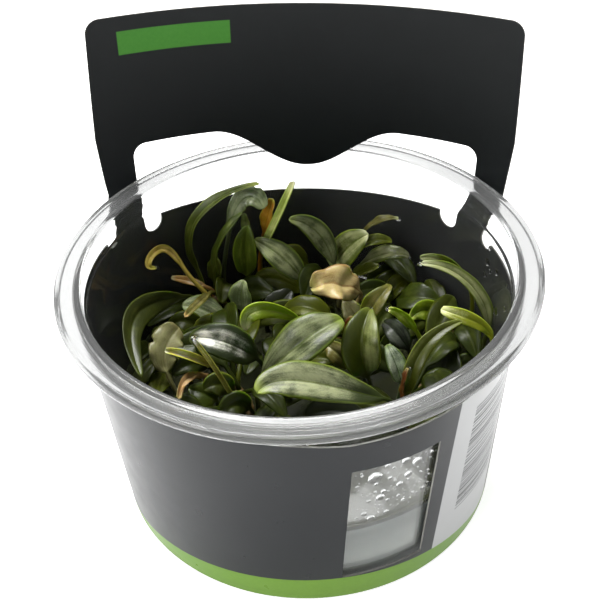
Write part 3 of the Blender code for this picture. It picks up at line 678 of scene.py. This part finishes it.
def turned(profile, steps=TURN_STEPS):
    """Points and faces of a profile turned about z. It starts and ends on the axis."""
    ring = profile[1:-1]
    points = [(0.0, 0.0, profile[0][1]), (0.0, 0.0, profile[-1][1])]
    for k in range(steps):
        turn = 2 * math.pi * k / steps
        points += [(r * math.cos(turn), r * math.sin(turn), z) for r, z in ring]
    count = len(ring)
    faces = []
    for k in range(steps):
        here = 2 + k * count
        there = 2 + (k + 1) % steps * count
        faces.append((0, here, there))
        faces.append((1, there + count - 1, here + count - 1))
        for j in range(count - 1):
            faces.append((here + j, here + j + 1, there + j + 1, there + j))
    return points, faces


def tub():
    """The tub as one profile, from the middle of its floor up the inside, over the rim and down outside."""
    profile = rounded([
        (0.0, FLOOR, 0),
        (wall_inner(3.4) - 1.6, FLOOR, 0.8),
        (wall_inner(3.8), 3.8, 0.8),
        (wall_inner(LEDGE), LEDGE, 0.3),
        (LIP_RADIUS - 0.45, LEDGE + 0.5, 0.2),
        (LIP_RADIUS - 0.3, 57.3, 0.4),
        (LIP_RADIUS, TUB_HEIGHT, 0.4),
        (RIM_INNER, TUB_HEIGHT, 0.3),
        (RIM_INNER + 0.5, RIM_PLATE, 0.3),
        (49.2, RIM_PLATE, 0.3),
        (49.7, TUB_HEIGHT, 0.3),
        (50.3, TUB_HEIGHT, 0.3),
        (RIM_RADIUS, 57.4, 0.4),
        (RIM_RADIUS, SKIRT_LOW, 0.2),
        (RIM_RADIUS - SKIRT, SKIRT_LOW, 0.2),
        (RIM_RADIUS - SKIRT - 0.1, RIM_UNDER, 0.3),
        (RIM_INNER, RIM_UNDER, 0.3),
        (46.05, 54.9, 0.3),
        (wall_outer(54.0), 54.0, 0.4),
        (wall_outer(0.8), 0.8, 0.5),
        (41.0, 0.0, 0.3),
        (38.8, 0.0, 0.3),
        (38.2, 1.0, 0.3),
        (0.0, 1.0, 0),
    ])
    points, faces = turned(profile)
    mesh = mesh_of("tub", points, faces)
    surfaces = [clear_plastic("tub_wall", tone=0.93, clear=0.98, low=0.015, high=0.05, rings=0.0),
                clear_plastic("tub_rim", tone=0.44, clear=0.84, low=0.12, high=0.22, rings=0.14)]
    add("tub", mesh, surfaces, ["cup"])
    for face in mesh.polygons:
        middle = sum((Vector(points[k]) for k in face.vertices), Vector()) / len(face.vertices)
        face.material_index = int(middle.z > MILKY_ABOVE and middle.xy.length > MILKY_BEYOND)


def gel():
    """The set gel, with a low meniscus where it clings to the wall and a faintly uneven top."""
    edge = wall_inner(GEL_TOP) - GEL_GAP
    profile = [(0.0, GEL_TOP - 0.1)]
    for r in np.linspace(1.5, edge - 2.0, 24):
        profile.append((r, GEL_TOP - 0.1))
    for r in np.linspace(edge - 1.5, edge, 6):
        profile.append((r, GEL_TOP - 0.1 + 0.55 * math.exp(-(edge - r) / 0.45)))
    profile.append((wall_inner(12.0) - GEL_GAP, 12.0))
    profile.append((wall_inner(4.2) - GEL_GAP, 4.2))
    profile.append((wall_inner(3.4) - 1.6 - GEL_GAP, FLOOR + GEL_GAP))
    profile.append((0.0, FLOOR + GEL_GAP))
    points, faces = turned(profile, 96)
    for k, (x, y, z) in enumerate(points):
        if z > GEL_TOP - 0.2:
            lift = 0.14 * math.sin(0.31 * x + 0.6) * math.cos(0.27 * y - 0.9)
            lift += 0.05 * math.sin(0.9 * x - 0.7 * y)
            points[k] = (x, y, z + lift * min(1.0, (edge + 1 - math.hypot(x, y)) / 6))
    add("gel_fill", mesh_of("gel_fill", points, faces), [gel_material()], ["gel"])


# Card

def smooth(x, low, high):
    x = min(max((x - low) / (high - low), 0.0), 1.0)
    return x * x * (3 - 2 * x)


def wrapped(u, v):
    """Where a point of the flat card's inner face lies once the card is round the tub."""
    turn = u / WRAP_RADIUS + CARD_TURN
    radius = wall_outer(v - CARD_TILT * FOOT_RADIUS * math.sin(turn)) + CARD_GAP
    x, y = radius * math.sin(turn), radius * math.cos(turn)
    if abs(u) < LEG_OUTER + OUTER_NOTCH:
        up = (v - TUB_HEIGHT) / (HEADER_TOP - TUB_HEIGHT)
        bend = HEADER_RADIUS_LOW + (HEADER_RADIUS_HIGH - HEADER_RADIUS_LOW) * up
        aside = HEADER_SHIFT + HEADER_LEAN * max(0.0, v - TUB_HEIGHT)
        flare = smooth(v, FLARE_START, FLARE_END) * (1 - smooth(abs(u), LEG_OUTER, LEG_OUTER + OUTER_NOTCH))
        x += flare * (bend * math.sin(u / bend) + aside - x)
        y += flare * (HEADER_FORWARD + 1.3 * up - bend + bend * math.cos(u / bend) - y)
    return (x, y, v - CARD_TILT * x)


def arc(u, v, radius, start, end, steps):
    """Points on an arc, from start to end in degrees."""
    turns = np.linspace(math.radians(start), math.radians(end), steps + 1)
    return [(u + radius * math.cos(t), v + radius * math.sin(t)) for t in turns]


def mirrored(path):
    return [(-u, v) for u, v in reversed(path)]


def even(*stops, step=2.0):
    """Points along the straight lines from stop to stop, no further apart than step."""
    path = [stops[0]]
    for first, last in zip(stops, stops[1:]):
        count = max(1, math.ceil(math.dist(first, last) / step))
        path += [tuple(np.array(first) + (np.array(last) - first) * k / count) for k in range(1, count + 1)]
    return path


def card_side(top):
    """The card's right edge from the seam to the header's top, with the sleeve's top at the given height."""
    notch = LEG_OUTER + OUTER_NOTCH
    corner = HEADER_HALF_TOP - HEADER_CORNER
    end = HEADER_TOP - HEADER_CORNER
    side = even((HALF_WRAP, CARD_BOTTOM), (HALF_WRAP, CARD_TOP_SEAM), (HALF_WRAP - 9, top),
                (notch + OUTER_NOTCH, top))
    side += arc(notch, top, OUTER_NOTCH, 0, -180, 14)[1:]
    side += even((LEG_OUTER, top), (HEADER_HALF_BOTTOM, FLARE_END), step=0.8)[1:]
    side += even((HEADER_HALF_BOTTOM, FLARE_END), (HEADER_HALF_MIDDLE, HEADER_MIDDLE), step=3)[1:]
    side += even((HEADER_HALF_MIDDLE, HEADER_MIDDLE), (HEADER_HALF_TOP, end), step=4)[1:-1]
    return side + arc(corner, end, HEADER_CORNER, 0, 90, 12)


def card_outline():
    """The outside edge of the flat card, anticlockwise from the bottom left."""
    corner = HEADER_HALF_TOP - HEADER_CORNER
    bottom = even((-HALF_WRAP, CARD_BOTTOM), (HALF_WRAP, CARD_BOTTOM))
    top = even((corner, HEADER_TOP), (-corner, HEADER_TOP), step=4)
    return bottom[:-1] + card_side(CARD_TOP_RIGHT) + top[1:-1] + mirrored(card_side(CARD_TOP_LEFT))[:-1]


def opening_outline():
    """The hole between the sleeve's back edge, the two legs and the header, with the tongue."""
    notch = LEG_INNER - NOTCH
    half = []
    for k in range(19):
        u = (notch - NOTCH) * k / 18
        half.append((u, BACK_EDGE + BACK_RISE * (u / notch) ** 2))
    half += arc(notch, NOTCH_LOW, NOTCH, -180, 0, 14)
    half += even((LEG_INNER, NOTCH_LOW + 2), (LEG_INNER, ARCH_SIDE - ARCH_CORNER - 1.2), step=1.2)
    corner = LEG_INNER - ARCH_CORNER
    half += arc(corner, ARCH_SIDE - ARCH_CORNER, ARCH_CORNER, 0, 90, 8)
    for u in (35, 32, 29, 26):
        half.append((u, ARCH_SIDE - (ARCH_SIDE - ARCH_MIDDLE) * (corner - u) / (corner - TONGUE_HALF)))
    for k in range(23):
        u = TONGUE_HALF * (1 - k / 22)
        drop = 0.5 * (1 + math.cos(math.pi * u / TONGUE_HALF))
        half.append((u, ARCH_MIDDLE - (ARCH_MIDDLE - TONGUE_TIP) * drop))
    return half[1:] + mirrored(half)[1:]


def window_outline():
    left_top = (WINDOW_LEFT_TOP, WINDOW_TOP)
    left_bottom = (WINDOW_LEFT_BOTTOM, WINDOW_BOTTOM)
    right_top = (WINDOW_LEFT_TOP - WINDOW_WIDTH, WINDOW_TOP)
    right_bottom = (WINDOW_LEFT_BOTTOM - WINDOW_WIDTH, WINDOW_BOTTOM)
    return even(left_top, right_top, right_bottom, left_bottom, left_top)[:-1]


def inside(points, loops):
    """Which of the flat points lie on the card."""
    found = np.zeros(len(points), bool)
    u, v = points[:, 0], points[:, 1]
    for loop in loops:
        for (u0, v0), (u1, v1) in zip(loop, loop[1:] + loop[:1]):
            if v0 != v1:
                found ^= ((v0 > v) != (v1 > v)) & (u < u0 + (u1 - u0) * (v - v0) / (v1 - v0))
    return found


def card():
    """Cuts the card flat, wraps it round the tub, joins its ends and gives it its thickness."""
    loops = [card_outline(), opening_outline(), window_outline()]
    edge = np.array([p for loop in loops for p in loop])
    edges = []
    first = 0
    for loop in loops:
        edges += [(first + k, first + (k + 1) % len(loop)) for k in range(len(loop))]
        first += len(loop)
    columns = np.linspace(-HALF_WRAP, HALF_WRAP, CARD_COLUMNS)[1:-1]
    grid = np.array([(u, v) for u in columns for v in np.arange(3.0, HEADER_TOP, CARD_STEP)])
    gap = np.array([np.min(np.hypot(*(edge - p).T)) for p in grid])
    grid = grid[inside(grid, loops) & (gap > 0.9)]
    flat = [Vector(p) for p in np.vstack([edge, grid])]
    points, _, triangles, *_ = delaunay_2d_cdt(flat, edges, [], 0, 1e-4)
    flat = np.array([tuple(p) for p in points])
    middles = flat[np.array(triangles)].mean(axis=1)
    kept = [tuple(reversed(t)) for t, on in zip(triangles, inside(middles, loops)) if on]
    u, v = flat.T
    front = {"front_q": np.sign(u) * (HALF_WRAP - np.abs(u)), "front_on": (np.abs(u) > 60).astype(float)}
    mesh = mesh_of("printed_card", [wrapped(*p) for p in flat], kept, wrap_u=u, wrap_v=v, **front)
    surfaces = [card_outside(), card_inside(), card_edge()]
    piece = add("printed_card", mesh, surfaces, ["card_sleeve"])
    seam = piece.modifiers.new("glued ends", "WELD")
    seam.merge_threshold = 0.01 * MM
    shell = piece.modifiers.new("card thickness", "SOLIDIFY")
    shell.thickness = CARD * MM
    shell.offset = 1.0
    shell.use_even_offset = True
    shell.material_offset = 1
    shell.material_offset_rim = 2
    crisp = piece.modifiers.new("crisp cut edges", "EDGE_SPLIT")
    crisp.split_angle = math.radians(50)


# Leaves

def unit(v):
    return v / np.linalg.norm(v)


def along_path(points, t):
    """A smooth curve through all the points, t from 0 at the first to 1 at the last."""
    knots = np.linspace(0, 1, len(points))
    total = np.zeros(3)
    for i, p in enumerate(points):
        others = [(t - k) / (knots[i] - k) for j, k in enumerate(knots) if j != i]
        total += math.prod(others) * np.array(p, float)
    return total


def frame_at(ahead, roll):
    """The sideways and upward directions of a leaf that points ahead."""
    side = unit(np.cross(ahead, unit(np.array([0.0, -0.6, 0.8]))))
    up = np.cross(side, ahead)
    turn = math.radians(roll)
    return side * math.cos(turn) + up * math.sin(turn), up * math.cos(turn) - side * math.sin(turn)


def section(leaf, t, widest=0.85, blunt=0.8):
    """Centre, side, up, half width, half thickness and lift of a leaf at t."""
    _, points, width, roll, fold, bare = leaf
    side, up = frame_at(unit(along_path(points, t + 0.01) - along_path(points, t - 0.01)), roll)
    share = max(0.0, (t - bare) / (1 - bare))
    bulge = math.sin(math.pi * min(share, 1.0) ** widest) ** blunt if 0 < share < 0.999 else 0.0
    half = STALK + (0.5 * width - STALK) * bulge if share < 0.999 else 0.5 * STALK
    thick = STALK if share <= 0 else BLADE + (STALK - BLADE) * (1 - share) ** 3
    lift = math.tan(math.radians(fold)) if share > 0 else 0.0
    return along_path(points, t), side, up, half, thick, lift


def coarse_top(leaf):
    """The highest point of the plain solid leaf before it was moved clear of its neighbours."""
    bare = leaf[5]
    steps = len(leaf[1]) + 2
    best = None
    for t in [bare + (1 - bare) * k / steps for k in range(steps + 1)]:
        centre, side, up, half, thick, lift = section(leaf, t)
        for x, y in ((-1, 0), (0, 1), (1, 0), (0.5, -0.85), (0, -1), (-0.5, -0.85)):
            point = centre + side * x * half + up * (abs(x) * half * lift + y * thick)
            if best is None or point[2] > best[2]:
                best = point
    return best


def node_points(node):
    """The corner points of a solid, in millimetres."""
    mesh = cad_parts[node].data
    flat = np.empty(3 * len(mesh.vertices))
    mesh.vertices.foreach_get("co", flat)
    matrix = np.array(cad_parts[node].matrix_world)
    return (flat.reshape(-1, 3) @ matrix[:3, :3].T + matrix[:3, 3]) / MM


def ringed(rings, count):
    """Faces of a closed form whose points lie in rings of the same count."""
    faces = []
    for k in range(rings - 1):
        for j in range(count):
            nxt = (j + 1) % count
            faces.append((k * count + j, k * count + nxt, (k + 1) * count + nxt, (k + 1) * count + j))
    faces.append(tuple(reversed(range(count))))
    faces.append(tuple(range((rings - 1) * count, rings * count)))
    return faces


def stalk_rings(foot, path, start, roll, across, facing, steps=9):
    """Rings of a round stalk that curves from its foot to where the blade starts."""
    base = along_path(path, start)
    ahead = unit(along_path(path, start + 0.02) - along_path(path, start - 0.02))
    reach = np.linalg.norm(base - foot)
    bend = [foot, foot + np.array([0, 0, 0.4 * reach]), base - ahead * 0.35 * reach, base]
    height = np.sqrt(np.clip(1 - across ** 2, 0, 1)) * facing
    rings = []
    for k in range(steps):
        t = k / steps
        weights = [(1 - t) ** 3, 3 * t * (1 - t) ** 2, 3 * t * t * (1 - t), t ** 3]
        slope = [-(1 - t) ** 2, (1 - t) ** 2 - 2 * t * (1 - t), 2 * t * (1 - t) - t * t, t * t]
        centre = sum(w * b for w, b in zip(weights, bend))
        side, up = frame_at(unit(sum(w * b for w, b in zip(slope, bend))), roll)
        thick = STALK * (1.25 - 0.25 * t)
        rings.append(centre + np.outer(across * thick, side) + np.outer(height * thick, up))
    return rings


def blade_ring(leaf, t, share, number, across, facing, crumple=0.0, tears=(), wave=0.25, convex=0.25,
               widest=0.85, blunt=0.8, curl=0.0, skin=0.13):
    """One ring of a blade, with a grooved midrib, a rounded section and a gently waved margin.

    A tear is its side, its place and its depth. Convex is how far each half of the blade arches, and curl how
    far it is rolled up. Widest above 1 moves the widest place towards the tip, a low blunt makes the outline
    fuller, and skin is half the thickness."""
    middle = np.abs(across)
    centre, side, up, half, thick, lift = section(leaf, t, widest, blunt)
    half = half if share < 0.985 else max(0.12, half * (1 - share) / 0.015 * 0.8)
    blend = smooth(share, 0.0, 0.12)
    thick = thick + (skin - thick) * blend
    edge = (1 - middle ** (2 + 2 * blend)) ** (0.5 + 0.2 * blend)
    ripple = wave * np.sin(9.0 * share + 2.1 * number + 1.7 * np.sign(across)) * middle ** 2
    ripple = ripple + 0.4 * wave * np.sin(23.0 * share + number - 1.1 * np.sign(across)) * middle ** 3
    height = middle * half * lift * blend + convex * half * (middle - middle ** 2) * blend
    height = height + ripple * blend * smooth(1 - share, 0.0, 0.15)
    groove = GROOVE * np.exp(-(across / 0.05) ** 2)
    keel = KEEL * np.exp(-(across / 0.09) ** 2)
    depth = edge * facing * thick
    depth = depth - np.where(facing > 0, groove, keel) * blend * smooth(1 - share, 0.0, 0.1)
    aside = half * across
    for torn_side, place, deep in tears:
        cut = deep * max(0.0, 1 - abs(share - place) / 0.05)
        aside = aside * np.where(across * torn_side > 0, 1 - cut * middle ** 4, 1.0)
    bow = max(curl * blend, 0.001)
    turn = aside / half * bow
    aside = half * np.sin(turn) / bow - depth * np.sin(turn)
    height = height + half * (1 - np.cos(turn)) / bow + depth * np.cos(turn)
    ring = centre + np.outer(aside, side) + np.outer(height, up)
    if crumple:
        bumps = np.sin(3.1 * across + 11 * share) + np.sin(5.3 * across * share + 4.0)
        bumps = bumps + np.sin(17 * share + across)
        ring = ring + np.outer(crumple * bumps * smooth(share, 0, 0.2), up)
        ring = ring + np.outer(0.7 * crumple * np.sin(13 * share + 2 * across), side)
    return ring


def fine_leaf(leaf, foot, number, columns=9, steps=44, **form):
    """A thin closed leaf on its stalk: points, faces and where each point lies on the leaf."""
    _, path, _, roll, _, bare = leaf
    start = max(0.85 * bare, 0.03)
    x = np.linspace(-1, 1, 2 * columns + 1)
    across = np.concatenate([x, x[-2:0:-1]])
    facing = np.concatenate([np.sign(1 - np.abs(x)), -np.ones(2 * columns - 1)])
    rings = stalk_rings(foot, path, start, roll, across, facing)
    shares = [0.0] * len(rings)
    for k in range(steps + 1):
        t = start + (1 - start) * k / steps
        shares.append(max(0.0, (t - bare) / (1 - bare)))
        rings.append(blade_ring(leaf, t, shares[-1], number, across, facing, **form))
    count = len(across)
    return np.vstack(rings), ringed(len(rings), count), {
        "across": np.tile(across, len(rings)),
        "along": np.repeat(shares, count),
        "upper": np.tile((facing >= 0).astype(float), len(rings)),
        "mark": np.full(count * len(rings), float(number)),
    }


def path_length(path):
    stops = [along_path(path, t) for t in np.linspace(0, 1, 20)]
    return sum(np.linalg.norm(b - a) for a, b in zip(stops, stops[1:]))


def leaf_tree(points, faces):
    return BVHTree.FromPolygons([Vector(p) for p in points], faces)


def leaves():
    """Every leaf in detail, where the solid that it stands for is. Returns their tips and trees."""
    tips = {}
    trees = []
    for number, leaf in enumerate(LEAVES, 1):
        node = f"leaf_{number:02d}"
        solid = node_points(node)
        shift = solid[np.argmax(solid[:, 2])] - coarse_top(leaf)
        look = leaf[0]
        form = REFINED.get(number, leaf[1:])
        path = [np.array(p, float) + shift for p in form[0]]
        low = solid[solid[:, 2] < solid[:, 2].min() + 0.5]
        foot = np.array([*low[:, :2].mean(axis=0), GEL_TOP - 0.3])
        moved = (look, path, *form[1:])
        points, faces, attributes = fine_leaf(moved, foot, number, **SHAPES.get(number, {}))
        # how much lighter or darker this leaf is painted: partly its own tone, partly painted light and shade
        lightness = sum(share for share, numbers in TONES_AND_PAINTED_LIGHT if number in numbers) or 1.0
        surface = leaf_material(f"{node}_surface", look, form[1], path_length(path), lightness)
        add(f"{node}_blade", mesh_of(node, points, faces, **attributes), [surface], [node])
        tips[number] = path[-1]
        trees.append(leaf_tree(points, faces))
    return tips, trees


def joined(parts):
    """Points, faces and attributes of several forms put together."""
    points = []
    faces = []
    attributes = {}
    for some_points, some_faces, some_attributes in parts:
        first = len(points)
        points += [tuple(p) for p in some_points]
        faces += [tuple(first + k for k in face) for face in some_faces]
        for key, values in some_attributes.items():
            attributes.setdefault(key, []).extend(values)
    return points, faces, attributes


def paint_parts(mesh, parts, looks):
    """Gives the faces of each part the surface with its number."""
    surfaces = [look for look, part in zip(looks, parts) for _ in part[1]]
    mesh.polygons.foreach_set("material_index", surfaces)


def random_leaf(chance, root, reach, crown, drop, width, fold, bare, start=0.0):
    """A leaf at random: it rises from its root, arches over and hangs a little at its tip."""
    heading = chance.uniform(0, 2 * math.pi)
    ahead = np.array([math.cos(heading), math.sin(heading), 0.0]) * chance.uniform(*reach)
    high = chance.uniform(*crown) - root[2]
    low = high - chance.uniform(*drop)
    path = [root + (0, 0, start), root + 0.5 * ahead + (0, 0, high), root + ahead + (0, 0, low)]
    return path, (chance.uniform(*width), chance.uniform(-25, 25), chance.uniform(*fold), bare)


def low_leaves(number, solid):
    """The low leaves of one stem: of the leaves drawn at random, those that its solid has."""
    first, last, _ = STEMS[number]
    chance = random.Random(number)
    found = []
    for _ in range(LOW_LEAVES):
        for _ in range(LOW_TRIES):
            root = np.array(first) + (np.array(last) - first) * chance.uniform(0.2, 0.8)
            path, form = random_leaf(chance, root, **LOW_LEAF)
            if np.min(np.linalg.norm(solid - path[-1], axis=1)) < 0.5 * STALK + 0.05:
                found.append((path, form))
                break
    return found


def knobbed(number):
    """The body of a creeping stem, ringed with the scars of old leaves."""
    first, last, radius = STEMS[number]
    axis = np.array(last, float) - first
    side = unit(np.cross(axis, (0.0, 0.0, 1.0)))
    up = unit(np.cross(side, axis))
    count = 18
    around = np.linspace(0, 2 * math.pi, count, endpoint=False)
    rings = []
    for t in np.linspace(0, 1, 46):
        end = math.sin(math.pi * min(max(t, 0.015), 0.985)) ** 0.3
        scar = 0.12 * abs(math.sin(9.0 * math.pi * t)) ** 0.4
        swell = radius * end * (0.78 + scar + 0.08 * np.sin(3 * around + 9 * t) * math.sin(21 * t))
        centre = np.array(first) + axis * t + side * 0.35 * math.sin(2 * math.pi * t)
        rings.append(centre + np.outer(swell * np.cos(around), side) + np.outer(swell * np.sin(around), up))
    zeros = np.zeros(len(rings) * count)
    attributes = {"across": zeros, "along": zeros, "upper": zeros, "mark": zeros}
    return np.vstack(rings), ringed(len(rings), count), attributes


def plantlets(trees, surfaces):
    """Each creeping stem with its low leaves."""
    for number in range(len(STEMS)):
        node = f"stem_{number + 1:02d}"
        parts = [knobbed(number)]
        looks = [0]
        for k, (path, form) in enumerate(low_leaves(number, node_points(node))):
            look = (k + number) % len(LOW_LOOKS)
            leaf = (LOW_LOOKS[look], path, *form)
            parts.append(fine_leaf(leaf, path[0], 60 + 20 * number + k, columns=6, steps=24, wave=0.2))
            trees.append(leaf_tree(*parts[-1][:2]))
            looks.append(look + 1)
        points, faces, attributes = joined(parts)
        mesh = mesh_of(f"plantlet_{number + 1:02d}", points, faces, **attributes)
        add(f"plantlet_{number + 1:02d}", mesh, [bark(), *surfaces], [node])
        paint_parts(mesh, parts, looks)


def undergrowth(trees, surfaces):
    """The lowest leaves, which close the gaps over the gel between the plantlets."""
    chance = random.Random(5)
    parts = []
    looks = []
    for k in range(LOWEST_COUNT):
        spread = LOWEST_SPREAD * math.sqrt((k + 0.5) / LOWEST_COUNT)
        turn = GOLDEN_TURN * k
        for attempt in range(LOWEST_TRIES):
            aside = chance.uniform(-2, 2)
            root = np.array((spread * math.cos(turn) + aside, spread * math.sin(turn), GEL_TOP))
            path, form = random_leaf(chance, root, **LOWEST_LEAF)
            blade = fine_leaf(("", path, *form), root, 200 + k, columns=5, steps=16, wave=0.2)
            x, y, z = blade[0].T
            if np.any(np.hypot(x, y) > wall_inner(z) - 0.3):
                continue
            if np.any((y < FRONT_OPEN) & (np.abs(x) < FRONT_HALF)):
                continue
            tree = leaf_tree(*blade[:2])
            if not any(tree.overlap(other) for other in trees):
                trees.append(tree)
                parts.append(blade)
                looks.append((k + attempt) % len(LOW_LOOKS))
                break
    points, faces, attributes = joined(parts)
    mesh = mesh_of("lowest_leaves", points, faces, **attributes)
    add("lowest_leaves", mesh, surfaces)
    paint_parts(mesh, parts, looks)


# Water

def bead(centre, out, radius, height):
    """A drop that stands on a surface: a low dome with a flat underside."""
    out = unit(np.array(out, float))
    side = unit(np.cross(out, (0.3, 0.2, 0.9)))
    other = np.cross(out, side)
    count = 10
    rows = 4
    around = np.linspace(0, 2 * math.pi, count, endpoint=False)
    rings = []
    for bend in np.linspace(0, math.pi / 2, rows + 1)[:-1]:
        ring = np.outer(np.cos(around), side) + np.outer(np.sin(around), other)
        rings.append(centre + ring * radius * math.cos(bend) + out * height * math.sin(bend))
    points = np.vstack(rings + [[centre + out * height]])
    last = (rows - 1) * count
    fan = [(last + j, last + (j + 1) % count, last + count) for j in range(count)]
    return points, ringed(rows, count)[:-1] + fan, {}


def wall_bead(turn, z, radius):
    """A drop on the inner face of the wall."""
    reach = wall_inner(z) - 0.02
    centre = np.array((reach * math.cos(turn), reach * math.sin(turn), z))
    return bead(centre, (-math.cos(turn), -math.sin(turn), 0.07), radius, 0.45 * radius)


def wall_drops():
    """Drops on the inner face of the wall, thickest behind the window. No two of them touch."""
    chance = random.Random(3)
    drops = [(math.radians(-90 + aside), z, radius) for aside, z, radius in BIG_DROPS]
    for low, high, bottom, top, count in SMALL_DROPS:
        for _ in range(count):
            turn = math.radians(-90 + chance.uniform(low, high))
            z = chance.uniform(bottom, top)
            radius = 0.16 + 0.9 * chance.random() ** 5
            gaps = [math.dist((turn * WALL_REACH, z), (other * WALL_REACH, height)) - size
                    for other, height, size in drops]
            if min(gaps) >= radius + 0.1:
                drops.append((turn, z, radius))
    points, faces, _ = joined(wall_bead(*drop) for drop in drops)
    add("wall_drops", mesh_of("wall_drops", points, faces), [water()])


def tip_drops(tips):
    """A drop on the tip of some leaves."""
    drops = []
    for number, radius in WET_TIPS.items():
        drops.append(bead(tips[number] + np.array((0, 0, -0.15)), (0, 0.1, 1), radius, 1.1 * radius))
    points, faces, _ = joined(drops)
    add("tip_drops", mesh_of("tip_drops", points, faces), [water()])


# Camera, floor and light

def camera():
    """The photo's view: from above the front, a little to the right, with a slight roll."""
    turn = math.radians(CAMERA_TURN)
    rise = math.radians(CAMERA_RISE)
    roll = math.radians(CAMERA_ROLL)
    back = Vector((math.sin(turn) * math.cos(rise), -math.cos(turn) * math.cos(rise), math.sin(rise)))
    right = back.cross(Vector((0, 0, -1))).normalized()
    up = back.cross(right)
    x = right * math.cos(roll) + up * math.sin(roll)
    y = up * math.cos(roll) - right * math.sin(roll)
    place = Vector((0.0, 0.0, CAMERA_AIM)) * MM + back * CAMERA_AWAY * MM
    data = bpy.data.cameras.new("camera")
    data.sensor_width = 36.0
    data.lens = CAMERA_LENS * data.sensor_width
    data.clip_start = 0.01
    made = placed("camera", data)
    made.matrix_world = Matrix.Translation(place) @ Matrix((x, y, back)).transposed().to_4x4()
    bpy.context.scene.camera = made


def floor():
    mesh = bpy.data.meshes.new("floor")
    corners = [(x * FLOOR_HALF, y * FLOOR_HALF, 0) for x, y in ((-1, -1), (1, -1), (1, 1), (-1, 1))]
    mesh.from_pydata(corners, [], [(0, 1, 2, 3)])
    made = Surface("floor", 0.7)
    made.set("Base Color", (0.93, 0.93, 0.93))
    made.set("Emission Color", (1.0, 1.0, 1.0))
    made.set("Emission Strength", FLOOR_GLOW)
    mesh.materials.append(made.material)
    piece = placed("floor", mesh)
    piece.location.z = -0.1 * MM


def softbox(name, place, size, power):
    data = bpy.data.lights.new(name, "AREA")
    data.shape = "RECTANGLE"
    data.size, data.size_y = size
    data.energy = power
    made = placed(name, data)
    made.location = place
    made.rotation_euler = (Vector(LIGHT_AIM) - Vector(place)).to_track_quat("-Z", "Y").to_euler()


def light():
    world = bpy.data.worlds.new("studio")
    world.use_nodes = True
    background = world.node_tree.nodes["Background"]
    background.inputs["Color"].default_value = (1.0, 1.0, 1.0, 1.0)
    background.inputs["Strength"].default_value = ROOM_LIGHT
    bpy.context.scene.world = world
    for name, (place, size, power) in SOFTBOXES.items():
        softbox(name, place, size, power)
    bpy.context.scene.view_settings.view_transform = "Standard"


def main():
    camera()
    floor()
    light()
    tub()
    gel()
    card()
    tips, trees = leaves()
    shared = [leaf_material(f"low_leaf_{k}_{look}", look, LOW_WIDTH, LOW_LENGTH, LOW_TINT, LOW_GLOSS)
              for k, look in enumerate(LOW_LOOKS)]
    plantlets(trees, shared)
    undergrowth(trees, shared)
    wall_drops()
    tip_drops(tips)


main()
